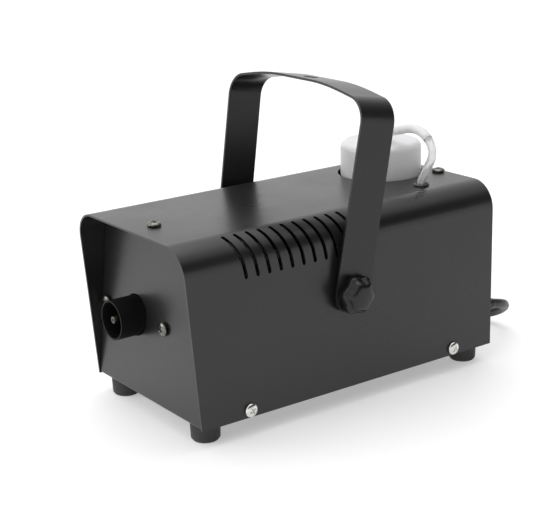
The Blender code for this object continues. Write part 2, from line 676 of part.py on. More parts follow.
def make_heater_bracket(wrap_x):
    """A plate behind the front panel, parallel to it, with an arm along each side of the heater."""
    half_plate = 14 * MM
    lean = math.sqrt(1 + PANEL_LEAN ** 2) * SHEET

    def back(z):
        return panel_front(z) + lean + GAP

    outline = [
        (back(NOZZLE_Z - half_plate), NOZZLE_Z - half_plate),
        (back(NOZZLE_Z - half_plate) + lean, NOZZLE_Z - half_plate),
        (back(NOZZLE_Z + half_plate) + lean, NOZZLE_Z + half_plate),
        (back(NOZZLE_Z + half_plate), NOZZLE_Z + half_plate),
    ]
    wide = 2 * (BRACKET_SCREW_X + 6 * MM)
    bracket = plate("heater_bracket", outline, wide, (NOZZLE_X, 0, 0), PROFILE_YZ, "zinc_sheet")
    half_arm = 9 * MM
    arm_end = BLOCK_FRONT + 60 * MM
    arm = [
        (back(NOZZLE_Z - half_arm) + lean / 2, NOZZLE_Z - half_arm),
        (arm_end, NOZZLE_Z - half_arm),
        (arm_end, NOZZLE_Z + half_arm),
        (back(NOZZLE_Z + half_arm) + lean / 2, NOZZLE_Z + half_arm),
    ]
    arms = []
    for side in (1, -1):
        at = (NOZZLE_X + side * (wrap_x + GAP + SHEET / 2), 0, 0)
        arms.append(plate("bracket_arm", arm, SHEET, at, PROFILE_YZ))
    boolean(bracket, arms, "UNION")
    deep = 12 * MM
    start_y = back(NOZZLE_Z) - deep / 2
    holes = [rod("bracket_nozzle_hole", (NOZZLE_X, start_y, NOZZLE_Z), SHROUD_RADIUS + 0.6 * MM,
                 deep, ALONG_Y, sides=24)]
    for side in (1, -1):
        start = (NOZZLE_X + side * BRACKET_SCREW_X, start_y, NOZZLE_Z)
        holes.append(rod("bracket_screw_hole", start, SCREW_HOLE, deep, ALONG_Y, sides=8))
    boolean(bracket, holes)


def make_handle():
    """The bail: one strap bent over the case, with its two spacers and clamping knobs."""
    middle = STRAP_IN + HANDLE_STRAP / 2
    reach = HANDLE_REACH - HANDLE_STRAP / 2
    corner = HANDLE_CORNER
    low_corner = reach - HANDLE_ARCH
    foot = HANDLE_FOOT_WIDTH / 2
    path = []
    for share in (-90, -75, -60, -45, -30, -15, 0):
        angle = math.radians(share)
        path.append((middle, foot * math.sin(angle), max(foot * math.cos(angle), 2 * MM)))
    path.append((middle, foot, foot))
    for x, z in arc((middle + HANDLE_FLARE - corner, low_corner - corner), corner, 0, 82, 7):
        path.append((x, z, HANDLE_BAR_WIDTH / 2))
    last_x, last_z = path[-1][:2]
    for step in (1, 2, 3):
        share = step / 3
        x = last_x + (HANDLE_FLAT - last_x) * share
        path.append((x, last_z + (reach - last_z) * math.sin(share * math.pi / 2), HANDLE_BAR_WIDTH / 2))
    path += [(-x, z, width) for x, z, width in reversed(path)]
    mesh = bpy.data.meshes.new("handle")
    made = bmesh.new()
    rows = [
        (made.verts.new((x, -width, z)), made.verts.new((x, width, z)))
        for x, z, width in path
    ]
    for (a, b), (c, d) in zip(rows, rows[1:]):
        made.faces.new((a, b, d, c))
    made.to_mesh(mesh)
    made.free()
    handle = bpy.data.objects.new("handle", mesh)
    handle.location = (0, PIVOT_Y, PIVOT_Z)
    handle.rotation_euler = (-HANDLE_TILT, 0, 0)
    strap = handle.modifiers.new("strap", "SOLIDIFY")
    strap.thickness = HANDLE_STRAP
    strap.offset = 0
    strap.use_even_offset = True
    place(handle, "black_paint")
    through = 5 * MM
    up = Matrix.Rotation(-HANDLE_TILT, 3, "X") @ Vector((0, 0, reach - through / 2))
    hole = rod("hang_hole", Vector((0, PIVOT_Y, PIVOT_Z)) + up, HANG_HOLE, through, ALONG_Z, sides=16)
    hole.rotation_euler = (-HANDLE_TILT, 0, 0)
    holes = [hole]
    for side in (1, -1):
        start = (side * middle - through / 2, PIVOT_Y, PIVOT_Z)
        holes.append(rod("strap_hole", start, STUD_RADIUS + GAP, through, ALONG_X, sides=12))
    boolean(handle, holes)
    spacer = HANDLE_OFF - 2 * GAP
    ring = [(STUD_RADIUS + GAP, spacer), (8 * MM, spacer), (8 * MM, 0), (STUD_RADIUS + GAP, 0)]
    for side, word, turn in ((1, "right", ALONG_X), (-1, "left", (0, -math.pi / 2, 0))):
        at = (side * (HALF + GAP), PIVOT_Y, PIVOT_Z)
        turned(f"handle_spacer_{word}", ring, at, turn, "rubber", 16)
        make_knob(f"knob_{word}", (side * (STRAP_OUT + GAP), PIVOT_Y, PIVOT_Z), turn)


def make_knob(name, at, turn):
    """A lobed grip on a threaded stud, turning about its own Z axis."""
    around = KNOB_LOBES * 6
    mesh = bpy.data.meshes.new(name)
    made = bmesh.new()
    levels = [(0.9, 0), (1.0, 0.12), (1.0, 0.42), (0.86, 0.62), (0.76, 0.88), (0.62, 1.0)]
    rings = []
    for share, height in levels:
        ring = []
        for index in range(around):
            angle = 2 * math.pi * index / around
            radius = share * KNOB_RADIUS * (0.93 + 0.07 * math.cos(KNOB_LOBES * angle))
            point = (radius * math.cos(angle), radius * math.sin(angle), height * KNOB_DEPTH)
            ring.append(made.verts.new(point))
        rings.append(ring)
    for lower, upper in zip(rings, rings[1:]):
        for index in range(around):
            after = (index + 1) % around
            made.faces.new((lower[index], lower[after], upper[after], upper[index]))
    made.faces.new(list(reversed(rings[0])))
    made.faces.new(rings[-1])
    made.to_mesh(mesh)
    made.free()
    knob = bpy.data.objects.new(name, mesh)
    knob.rotation_euler = turn
    knob.location = at
    place(knob, "black_plastic")
    stud_length = HANDLE_STRAP + HANDLE_OFF + 10 * MM
    into = 4 * MM
    stud = rod(f"{name}_stud", (0, 0, 0), STUD_RADIUS, stud_length + into, turn, sides=12)
    stud.data.transform(Matrix.Translation((0, 0, -stud_length)))
    stud.location = at
    boolean(knob, [stud], "UNION")


def make_bottle():
    """Fluid bottle, its cap, the cup it stands in, the feed tube with its strainer, and the grommet."""
    cup_floor = FLOOR_TOP + GAP
    cup_in = BOTTLE_RADIUS + 1 * MM
    cup_out = cup_in + 1.4 * MM
    cup_high = 34 * MM
    cup_base = 2 * MM
    drain = 3 * MM
    at = (BOTTLE_X, BOTTLE_Y, cup_floor)
    turned("bottle_cup", [
        (drain, cup_base), (cup_in, cup_base), (cup_in, cup_high), (cup_out, cup_high),
        (cup_out, 0), (drain, 0)], at, ALONG_Z, "black_plastic", 24)
    bottom = cup_floor + cup_base + GAP
    cap_top = TOP + CAP_RISE
    neck_top = cap_top - 6.5 * MM
    shoulder = cap_top - CAP_DEPTH - 3 * MM
    high = neck_top - bottom
    side = shoulder - bottom - 6 * MM
    wall = BOTTLE_WALL
    turned("bottle", [
        (0, wall),
        (BOTTLE_RADIUS - 4 * MM, wall),
        (BOTTLE_RADIUS - wall, 4 * MM),
        (BOTTLE_RADIUS - wall, side - wall / 2),
        (BOTTLE_NECK - wall, shoulder - bottom - wall / 2),
        (BOTTLE_NECK - wall, high),
        (BOTTLE_NECK, high),
        (BOTTLE_NECK, shoulder - bottom),
        (BOTTLE_RADIUS, side),
        (BOTTLE_RADIUS, 3 * MM),
        (BOTTLE_RADIUS - 3 * MM, 0),
        (0, 0)], (BOTTLE_X, BOTTLE_Y, bottom), ALONG_Z, "white_plastic", 24)
    skin = 1.5 * MM
    crown = 4.5 * MM
    bore = TUBE_RADIUS + GAP
    turned("bottle_cap", [
        (bore, 0),
        (CAP_RADIUS - crown, 0),
        (CAP_RADIUS - 0.3 * crown, -0.3 * crown),
        (CAP_RADIUS, -crown),
        (CAP_RADIUS, -CAP_DEPTH),
        (CAP_RADIUS - skin, -CAP_DEPTH),
        (CAP_RADIUS - skin, -crown),
        (CAP_RADIUS - crown, -skin),
        (bore, -skin)], (BOTTLE_X, BOTTLE_Y, cap_top), ALONG_Z, "white_plastic", 32)
    make_feed_tube(bottom + wall, cap_top)


def make_feed_tube(bottle_floor, cap_top):
    """One clear tube from the strainer, up through the cap, over, and down through the grommet."""
    strainer = 12 * MM
    inside = bottle_floor + strainer + 2 * MM
    span = Vector((TUBE_X - BOTTLE_X, TUBE_Y - BOTTLE_Y, 0))
    # Each knot is (share of the way across, height above the cap) of the arch.
    arch = [(0.02, 3), (0.12, 6.6), (0.28, 8), (0.5, 10.6), (0.7, 13), (0.89, 13.6), (1.04, 12.2),
            (1.17, 8.8), (1.24, 3.6), (1.23, -2.6), (1.15, -8.6), (1.06, -15)]
    start = Vector((BOTTLE_X, BOTTLE_Y, 0))
    knots = [start + Vector((0, 0, inside + (cap_top - inside) * share)) for share in (0, 0.33, 0.66, 1)]
    knots += [start + span * share + Vector((0, 0, cap_top + rise * MM)) for share, rise in arch]
    straight = (TOP + 2.5 * MM, TOP - 3 * MM, (TOP + TUBE_INNER_END) / 2, TUBE_INNER_END)
    knots += [Vector((TUBE_X, TUBE_Y, z)) for z in straight]
    tube("feed_tube", smooth_route(knots, 7 * MM), TUBE_RADIUS, "silicone")
    turned("strainer", [
        (0, strainer), (4.5 * MM, strainer), (4.5 * MM, 1 * MM), (3.5 * MM, 0), (0, 0)],
        (BOTTLE_X, BOTTLE_Y, inside - GAP - strainer), ALONG_Z, "brass", 12)
    bore = TUBE_RADIUS + 0.6 * MM
    waist = TUBE_RADIUS + 1.2 * MM
    flange = TUBE_RADIUS + 2.5 * MM
    out = 1.2 * MM
    turned("tube_grommet", [
        (bore, out), (flange - 0.6 * MM, out), (flange, 0), (waist, 0), (waist, -SHEET - 2 * GAP),
        (flange, -SHEET - 2 * GAP), (flange, -SHEET - 2 * GAP - out), (bore, -SHEET - 2 * GAP - out)],
        (TUBE_X, TUBE_Y, TOP + GAP), ALONG_Z, "rubber", 16)


def make_pump():
    """Solenoid pump with its coil, sprung plunger, bracket, soft mounts and the two inner hoses."""
    bore = 4.6 * MM
    shell = 7 * MM
    fine = 1.2 * MM
    spout = 10 * MM
    spout_radius = 2.4 * MM
    wall = 4 * MM
    length = PUMP_LENGTH
    at = (PUMP_X, PUMP_FRONT, PUMP_Z)
    turned("pump_body", [
        (fine, length), (spout_radius, length), (spout_radius, length - spout), (shell, length - spout),
        (shell, spout), (spout_radius, spout), (spout_radius, 0), (fine, 0),
        (fine, spout + wall), (bore, spout + wall), (bore, length - spout - wall),
        (fine, length - spout - wall)], at, ALONG_Y, "black_plastic", 16)
    play = 4 * MM
    chamber = length - 2 * (spout + wall)
    start = (PUMP_X, PUMP_FRONT + spout + wall + GAP, PUMP_Z)
    rod("pump_plunger", start, bore - GAP, chamber - play, ALONG_Y, "screw_steel", 12)
    ear_gap = 28 * MM
    half = 14 * MM
    middle = PUMP_FRONT + length / 2
    low = (PUMP_X - half, middle - ear_gap / 2 + GAP, PUMP_Z - half)
    high = (PUMP_X + half, middle + ear_gap / 2 - GAP, PUMP_Z + half)
    coil = box("pump_coil", low, high, "copper_coil")
    start = (PUMP_X, middle - ear_gap, PUMP_Z)
    boolean(coil, [rod("coil_bore", start, shell + GAP, 2 * ear_gap, ALONG_Y)])
    under = PUMP_Z - half - GAP
    rise = PUMP_Z + 11 * MM
    outer = ear_gap / 2 + SHEET
    outline = [
        (middle - outer, under - SHEET), (middle + outer, under - SHEET), (middle + outer, rise),
        (middle + ear_gap / 2, rise), (middle + ear_gap / 2, under), (middle - ear_gap / 2, under),
        (middle - ear_gap / 2, rise), (middle - outer, rise)]
    bracket = plate("pump_bracket", outline, 2 * half, (PUMP_X, 0, 0), PROFILE_YZ, "zinc_sheet")
    start = (PUMP_X, middle - ear_gap, PUMP_Z)
    boolean(bracket, [rod("ear_bore", start, shell + GAP, 2 * ear_gap, ALONG_Y)])
    base = FLOOR_TOP + GAP
    for word, side in (("front", -1), ("rear", 1)):
        start = (PUMP_X, middle + side * 8 * MM, base)
        rod(f"pump_mount_{word}", start, 5 * MM, under - SHEET - GAP - base, ALONG_Z, "rubber", 12)
    end = Vector((TUBE_X, TUBE_Y, TUBE_INNER_END - GAP))
    inlet = Vector((PUMP_X, PUMP_REAR + GAP, PUMP_Z))
    tube("pump_inlet_hose", smooth_route([
        end, end - Vector((0, 0, 3 * MM)), end - Vector((0, 0, 6 * MM)),
        Vector((inlet.x, (end.y * 2 + inlet.y) / 3, inlet.z + 2 * MM)),
        inlet + Vector((0, 7 * MM, 0)), inlet + Vector((0, 3 * MM, 0)), inlet], 7 * MM),
        TUBE_RADIUS, "silicone")
    outlet = Vector((PUMP_X, PUMP_FRONT - GAP, PUMP_Z))
    heater = Vector((NOZZLE_X, BLOCK_REAR + GAP, NOZZLE_Z))
    back = heater.y + 18 * MM
    tube("pump_outlet_hose", smooth_route([
        outlet, outlet - Vector((0, 3 * MM, 0)), outlet - Vector((0, 6 * MM, 0)),
        outlet + Vector((-2, -11, 9)) * MM,
        Vector((outlet.x - 10 * MM, outlet.y - 4 * MM, NOZZLE_Z + 3 * MM)),
        Vector((heater.x + 24 * MM, back, NOZZLE_Z + 6 * MM)),
        Vector((heater.x + 6 * MM, back - 2 * MM, NOZZLE_Z + 2 * MM)),
        heater + Vector((0, 8 * MM, 0)), heater + Vector((0, 4 * MM, 0)), heater], 7 * MM),
        TUBE_RADIUS, "silicone")


def board_corner():
    """The board's corner of lowest x and y: it ends just in front of the pump."""
    return HALF - BOARD_IN_X - BOARD_WIDTH, PUMP_FRONT - 6 * MM - BOARD_LENGTH


def board_boss_places():
    x, y = board_corner()
    inset = 4 * MM
    return [
        (x + dx, y + dy)
        for dx in (inset, BOARD_WIDTH - inset)
        for dy in (inset, BOARD_LENGTH - inset)
    ]


def make_electronics():
    """Control board with its transformer, relay and terminal block."""
    x, y = board_corner()
    top = BOARD_LOW + BOARD_THICK + GAP
    low = (x, y, BOARD_LOW)
    high = (x + BOARD_WIDTH, y + BOARD_LENGTH, BOARD_LOW + BOARD_THICK)
    box("control_board", low, high, "circuit_board")
    low = (x + 3 * MM, y + 3 * MM, top)
    box("transformer", low, (low[0] + 22 * MM, low[1] + 26 * MM, top + 12 * MM), "black_plastic")
    low = (x + 4 * MM, y + 32 * MM, top)
    box("relay", low, (low[0] + 15 * MM, low[1] + 19 * MM, top + 12 * MM), "black_plastic")
    low = (x + 28 * MM, y + 8 * MM, top)
    box("terminal_block", low, (low[0] + 9 * MM, low[1] + 40 * MM, top + 10 * MM), "white_plastic")


def make_switch():
    """Power switch: a housing with an open front, and the rocker that tips in it."""
    rim = 1.8 * MM
    out = 2.2 * MM
    deep = 22 * MM
    low = (SWITCH_X - SWITCH_BODY_X - rim, SEAT, SWITCH_Z - SWITCH_BODY_Z - rim)
    high = (SWITCH_X + SWITCH_BODY_X + rim, SEAT + out, SWITCH_Z + SWITCH_BODY_Z + rim)
    housing = box("switch_housing", low, high, "black_plastic")
    low = (SWITCH_X - SWITCH_BODY_X, SEAT + out / 2 - deep, SWITCH_Z - SWITCH_BODY_Z)
    body = box("switch_body", low, (-low[0] + 2 * SWITCH_X, SEAT + out / 2, SWITCH_Z + SWITCH_BODY_Z))
    boolean(housing, [body], "UNION")
    cell_x = SWITCH_BODY_X - 1.2 * MM
    cell_z = SWITCH_BODY_Z - 1.2 * MM
    low = (SWITCH_X - cell_x, SEAT - 9 * MM, SWITCH_Z - cell_z)
    cell = box("switch_cell", low, (SWITCH_X + cell_x, SEAT + 2 * out, SWITCH_Z + cell_z))
    boolean(housing, [cell])
    half = cell_z - 0.5 * MM
    outline = [(-4 * MM, -half + 0.8 * MM), (2.8 * MM, -half + 0.3 * MM), (1.6 * MM, 0),
               (2.8 * MM, half - 0.3 * MM), (-4 * MM, half - 0.8 * MM)]
    wide = 2 * (cell_x - GAP)
    rocker = plate("switch_rocker", outline, wide, (SWITCH_X, SEAT, SWITCH_Z), PROFILE_YZ, "black_plastic")
    rocker.data.transform(Matrix.Rotation(-SWITCH_THROW, 4, "Z"))


def make_fuse():
    """Panel fuse holder, its screw cap and the glass fuse that comes out with the cap."""
    out = 2 * MM
    deep = 27 * MM
    flange = 7.5 * MM
    at = (FUSE_X, SEAT, FUSE_Z)
    turned("fuse_holder", [
        (FUSE_BORE, out), (flange, out), (flange, 0), (FUSE_BARREL, 0), (FUSE_BARREL, -deep),
        (2 * MM, -deep), (2 * MM, 2 * MM - deep), (FUSE_BORE, 2 * MM - deep)],
        at, ALONG_Y, "black_plastic", 16)
    cap_start = out + GAP
    cap_end = REAR + PROUD - SEAT
    plug = FUSE_BORE - GAP
    turned("fuse_cap", [
        (0, cap_end), (5.2 * MM, cap_end), (6.2 * MM, cap_end - 1 * MM), (6.2 * MM, cap_start),
        (plug, cap_start), (plug, cap_start - 5 * MM), (0, cap_start - 5 * MM)],
        at, ALONG_Y, "black_plastic", 16)
    length = 20 * MM
    start = (FUSE_X, SEAT + cap_start - 5 * MM - GAP - length, FUSE_Z)
    rod("glass_fuse", start, 2.6 * MM, length, ALONG_Y, "clear_glass", 12)


def make_rear_sockets():
    """Remote-control socket and the ready lamp."""
    out = 2.5 * MM
    bore = 5.4 * MM
    deep = 12 * MM
    turned("remote_socket", [
        (0, 2 * MM - deep), (bore, 2 * MM - deep), (bore, out), (9 * MM, out), (9 * MM, 0),
        (SOCKET_BARREL, 0), (SOCKET_BARREL, -deep), (0, -deep)],
        (SOCKET_X, SEAT, SOCKET_Z), ALONG_Y, "black_plastic", 16)
    turned("ready_lamp", [
        (0, 3.4 * MM), (2.6 * MM, 2.6 * MM), (4 * MM, 1 * MM), (4 * MM, 0), (LAMP_BARREL, 0),
        (LAMP_BARREL, -10 * MM), (0, -10 * MM)], (LAMP_X, SEAT, LAMP_Z), ALONG_Y, "lamp_red", 12)


def make_mains_lead():
    """Gland, tapered relief, the lead down to the floor, its coil behind the case, and the plug."""
    out = 2.8 * MM
    neck = GLAND_NECK
    flange = 8 * MM
    bore = CORD_RADIUS + GAP
    inner = SHEET + 2 * GAP
    turned("cord_gland", [
        (bore, out), (flange - 1 * MM, out), (flange, 0), (neck, 0), (neck, -inner),
        (flange - 1 * MM, -inner), (flange - 1 * MM, -inner - 3 * MM), (bore, -inner - 3 * MM)],
        (CORD_X, SEAT, CORD_Z), ALONG_Y, "black_plastic", 16)
    start = SEAT + out + GAP
    boot = [Vector((CORD_X, start, CORD_Z))]
    boot += [Vector((CORD_X, start + along * MM, CORD_Z - drop * MM))
             for along, drop in RELIEF_BEND]
    tube("strain_relief", boot, RELIEF_RADIUS, "black_plastic", RELIEF_TAPER)
    lead_start = boot[-1] + (boot[-1] - boot[-2]).normalized() * 2 * GAP
    rear = Vector((0, REAR, 0))
    route = [lead_start] + [rear + Vector(point) * MM for point in LEAD_ROUTE]
    tube("mains_lead", smooth_route(route, 14 * MM), CORD_RADIUS, "cord_pvc")
    # Two layers of three turns.
    across = 3 * CORD_RADIUS + 0.2 * MM
    high = 4 * CORD_RADIUS + 0.2 * MM
    turned("mains_lead_coil", [
        (COIL_MEAN_RADIUS - across, high), (COIL_MEAN_RADIUS + across, high),
        (COIL_MEAN_RADIUS + across, 0), (COIL_MEAN_RADIUS - across, 0)],
        (COIL_X, COIL_Y, 0), ALONG_Z, "cord_pvc", 32)
    tail_x = COIL_X - COIL_MEAN_RADIUS - 2 * CORD_RADIUS
    tail = [Vector((tail_x, COIL_Y, 0)) + Vector((0, along, up)) * MM
            for along, up in TAIL_ROUTE]
    plug_from = tail[-1] + Vector((0, GAP, 0))
    tube("mains_lead_tail", tail, CORD_RADIUS, "cord_pvc")
    plug = turned("mains_plug", [
        (0, 36 * MM), (11 * MM, 36 * MM), (12.2 * MM, 34 * MM), (12.2 * MM, 19 * MM), (7 * MM, 13 * MM),
        (4.4 * MM, 0), (0, 0)], plug_from, ALONG_Y, "black_plastic", 16)
    pins = []
    base = plug_from + Vector((0, 34 * MM, 0))
    for side in (1, -1):
        centre = base + Vector((side * 6.3 * MM, 0, 2 * MM))
        pins.append(box("blade", centre - Vector((0.8, 0, 3.2)) * MM, centre + Vector((0.8, 19, 3.2)) * MM))
    pins.append(rod("earth_pin", base - Vector((0, 0, 7 * MM)), 2.4 * MM, 21 * MM, ALONG_Y, sides=8))
    boolean(plug, pins, "UNION")


def main():
    clear_scene()
    make_materials()
    make_chassis()
    make_cover()
    make_feet()
    make_case_screws()
    make_nozzle()
    make_heater()
    make_handle()
    make_bottle()
    make_pump()
    make_electronics()
    make_switch()
    make_fuse()
    make_rear_sockets()
    make_mains_lead()


main()
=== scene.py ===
"""Looks of the small stage fog machine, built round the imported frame. Metres, in the frame's own axes."""

import json
import math

import bmesh
import bpy
from mathutils import Matrix, Vector


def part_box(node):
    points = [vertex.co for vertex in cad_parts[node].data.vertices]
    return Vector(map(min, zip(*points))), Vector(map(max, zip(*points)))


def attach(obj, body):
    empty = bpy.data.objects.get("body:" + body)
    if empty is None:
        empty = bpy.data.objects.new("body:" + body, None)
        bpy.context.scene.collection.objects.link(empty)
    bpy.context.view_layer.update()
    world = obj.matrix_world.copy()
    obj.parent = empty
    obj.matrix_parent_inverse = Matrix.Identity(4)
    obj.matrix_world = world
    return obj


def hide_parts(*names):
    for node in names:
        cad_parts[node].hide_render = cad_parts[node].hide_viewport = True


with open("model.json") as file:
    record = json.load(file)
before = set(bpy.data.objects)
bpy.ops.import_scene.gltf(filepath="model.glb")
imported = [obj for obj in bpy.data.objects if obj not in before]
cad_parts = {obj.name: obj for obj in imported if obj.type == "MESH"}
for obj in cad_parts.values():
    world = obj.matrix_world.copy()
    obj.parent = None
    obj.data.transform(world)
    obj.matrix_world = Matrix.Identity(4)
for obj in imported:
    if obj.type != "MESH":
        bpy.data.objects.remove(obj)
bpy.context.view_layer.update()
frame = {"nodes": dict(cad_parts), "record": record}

MM = 0.001
GAP = 0.3 * MM
X, Y, Z = Vector((1, 0, 0)), Vector((0, 1, 0)), Vector((0, 0, 1))

# The case, from its own node.
COVER_LOW, COVER_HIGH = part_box("cover")
HALF = COVER_HIGH.x
REAR = COVER_HIGH.y
FRONT = -REAR
BOTTOM = COVER_LOW.z
TOP = COVER_HIGH.z
VISOR = FRONT - COVER_LOW.y
SHEET = 1.2 * MM
FILLET = 17.5 * MM
PANEL_LEAN = 0.1
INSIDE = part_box("chassis")[1].x
INSIDE_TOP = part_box("chassis")[1].z
PANEL_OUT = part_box("chassis")[1].y
SEAT = PANEL_OUT + GAP


def middle(node):
    low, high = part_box(node)
    return (low + high) / 2


def linked(name, data, at=None):
    """A new object in the scene."""
    made = bpy.data.objects.new(name, data)
    if at is not None:
        made.matrix_world = at
    bpy.context.scene.collection.objects.link(made)
    return made


def mesh_from(name, made):
    mesh = bpy.data.meshes.new(name)
    made.to_mesh(mesh)
    made.free()
    return mesh


def outward_mesh(name, made):
    """The mesh of a closed shape, with its faces turned outward."""
    bmesh.ops.recalc_face_normals(made, faces=made.faces)
    return mesh_from(name, made)


# Camera
CAMERA_AT = Vector((0.6838, -0.5077, 0.3397))
AZIMUTH = math.radians(54.679)
ELEVATION = math.radians(16.734)
ROLL = math.radians(-1.562)
LENS = 93.22  # millimetres, on a sensor 36 mm wide


def make_camera():
    back = Vector((math.sin(AZIMUTH) * math.cos(ELEVATION), -math.cos(AZIMUTH) * math.cos(ELEVATION),
                   math.sin(ELEVATION)))
    right = Vector((math.cos(AZIMUTH), math.sin(AZIMUTH), 0))
    up = back.cross(right)
    right, up = (right * math.cos(ROLL) + up * math.sin(ROLL),
                 up * math.cos(ROLL) - right * math.sin(ROLL))
    data = bpy.data.cameras.new("camera")
    data.sensor_fit = "HORIZONTAL"
    data.sensor_width = 36
    data.lens = LENS
    data.clip_start = 0.01
    turn = Matrix((right, up, back)).transposed().to_4x4()
    bpy.context.scene.camera = linked("camera", data, Matrix.Translation(CAMERA_AT) @ turn)


make_camera()

# Materials
MATERIALS = {}
# Noise is mostly between these values, so tones and roughness are spread over them.
NOISE_LOW, NOISE_HIGH = 0.3, 0.7


class Paint:
    """A Principled material whose colour, roughness and relief come from object-space textures."""

    def __init__(self, name, **sockets):
        self.material = bpy.data.materials.new(name)
        self.material.use_nodes = True
        self.tree = self.material.node_tree
        self.link = self.tree.links.new
        self.shader = self.tree.nodes["Principled BSDF"]
        for socket, value in sockets.items():
            self.shader.inputs[socket.replace("_", " ")].default_value = value
        self.place = self.tree.nodes.new("ShaderNodeTexCoord").outputs["Object"]
        MATERIALS[name] = self.material

    def texture(self, kind, scale, **settings):
        made = self.tree.nodes.new("ShaderNodeTex" + kind)
        for key, value in settings.items():
            setattr(made, key, value)
        made.inputs["Scale"].default_value = scale
        self.link(self.place, made.inputs["Vector"])
        return made

    def noise(self, scale, detail=3.0, roughness=0.5):
        made = self.texture("Noise", scale)
        made.inputs["Detail"].default_value = detail
        made.inputs["Roughness"].default_value = roughness
        return made.outputs["Fac"]

    def cells(self, scale, feature="F1"):
        return self.texture("Voronoi", scale, feature=feature).outputs["Distance"]

    def waves(self, scale, direction):
        return self.texture("Wave", scale, bands_direction=direction).outputs["Fac"]

    def colour(self, factor, dark, light, low=NOISE_LOW, high=NOISE_HIGH):
        ramp = self.tree.nodes.new("ShaderNodeValToRGB")
        for stop, position, tone in zip(ramp.color_ramp.elements, (low, high), (dark, light)):
            stop.position = position
            stop.color = (*tone, 1)
        self.link(factor, ramp.inputs["Fac"])
        self.link(ramp.outputs["Color"], self.shader.inputs["Base Color"])

    def rough(self, factor, low, high):
        made = self.tree.nodes.new("ShaderNodeMapRange")
        ends = {"From Min": NOISE_LOW, "From Max": NOISE_HIGH, "To Min": low, "To Max": high}
        for socket, value in ends.items():
            made.inputs[socket].default_value = value
        self.link(factor, made.inputs["Value"])
        self.link(made.outputs["Result"], self.shader.inputs["Roughness"])

    def relief(self, height, depth):
        """Bumps of a depth in metres. Each further call adds its relief to what is there."""
        bump = self.tree.nodes.new("ShaderNodeBump")
        bump.inputs["Distance"].default_value = depth
        self.link(height, bump.inputs["Height"])
        normal = self.shader.inputs["Normal"]
        if normal.is_linked:
            self.link(normal.links[0].from_socket, bump.inputs["Normal"])
        self.link(bump.outputs["Normal"], normal)


def grey(tone):
    return tone, tone, tone


def finish(name, tint, grain, bumps=(), **sockets):
    """A finish made of noise alone, or the start of one.

    Tint is (scale, detail, dark tone, light tone), grain is (scale, detail, least and most roughness),
    and each bump is (scale, detail, height in millimetres).
    """
    made = Paint(name, **sockets)
    scale, detail, dark, light = tint
    made.colour(made.noise(scale, detail), dark, light)
    scale, detail, least, most = grain
    made.rough(made.noise(scale, detail), least, most)
    for scale, detail, height in bumps:
        made.relief(made.noise(scale, detail), height * MM)
    return made


def make_paints():
    """The enamel of the case, and the slightly duller one of the handle's strap."""
    for name, shine in (("black_paint", 0.44), ("strap_paint", 0.36)):
        paint = Paint(name, Specular_IOR_Level=shine, Coat_Weight=0.08, Coat_Roughness=0.2)
        paint.colour(paint.noise(9, 4), (0.0085, 0.0085, 0.0092), grey(0.0125))
        paint.rough(paint.noise(22, 5, 0.6), 0.26, 0.34)
        paint.relief(paint.noise(520, 2), 0.03 * MM)
        paint.relief(paint.noise(2600, 1), 0.006 * MM)
    finish("matt_black", (60, 4, grey(0.0035), grey(0.006)), (180, 4, 0.45, 0.6),
           [(900, 3, 0.02)], Specular_IOR_Level=0.1)


def make_metals():
    finish("screw_steel", (300, 4, (0.62, 0.61, 0.58), (0.86, 0.86, 0.84)), (700, 4, 0.16, 0.3),
           [(1500, 3, 0.01)], Metallic=1.0)
    finish("black_screw", (500, 4, (0.1, 0.1, 0.095), (0.22, 0.215, 0.2)), (800, 4, 0.2, 0.34),
           [(1500, 3, 0.012)], Metallic=1.0)
    finish("cast_aluminium", (90, 5, grey(0.42), (0.62, 0.62, 0.61)), (300, 5, 0.42, 0.62),
           [(650, 5, 0.12)], Metallic=1.0)
    brass = finish("brass", (260, 4, (0.55, 0.38, 0.16), (0.78, 0.58, 0.28)), (500, 4, 0.2, 0.36),
                   Metallic=1.0)
    brass.relief(brass.waves(900, "Y"), 0.008 * MM)
    soot = finish("sooted_brass", (260, 4, (0.05, 0.046, 0.04), (0.12, 0.11, 0.095)), (500, 4, 0.26, 0.42),
                  Metallic=1.0)
    soot.relief(soot.waves(900, "Y"), 0.008 * MM)
    coil = finish("copper_coil", (120, 4, (0.38, 0.12, 0.04), (0.62, 0.25, 0.1)), (260, 3, 0.26, 0.42),
                  Metallic=0.85)
    coil.relief(coil.waves(260, "Y"), 0.15 * MM)
    zinc = Paint("zinc_sheet", Metallic=1.0)
    zinc.colour(zinc.cells(130), (0.42, 0.44, 0.47), (0.68, 0.69, 0.7), 0.1, 0.8)
    zinc.rough(zinc.cells(170), 0.28, 0.5)
    zinc.relief(zinc.noise(900, 3), 0.01 * MM)


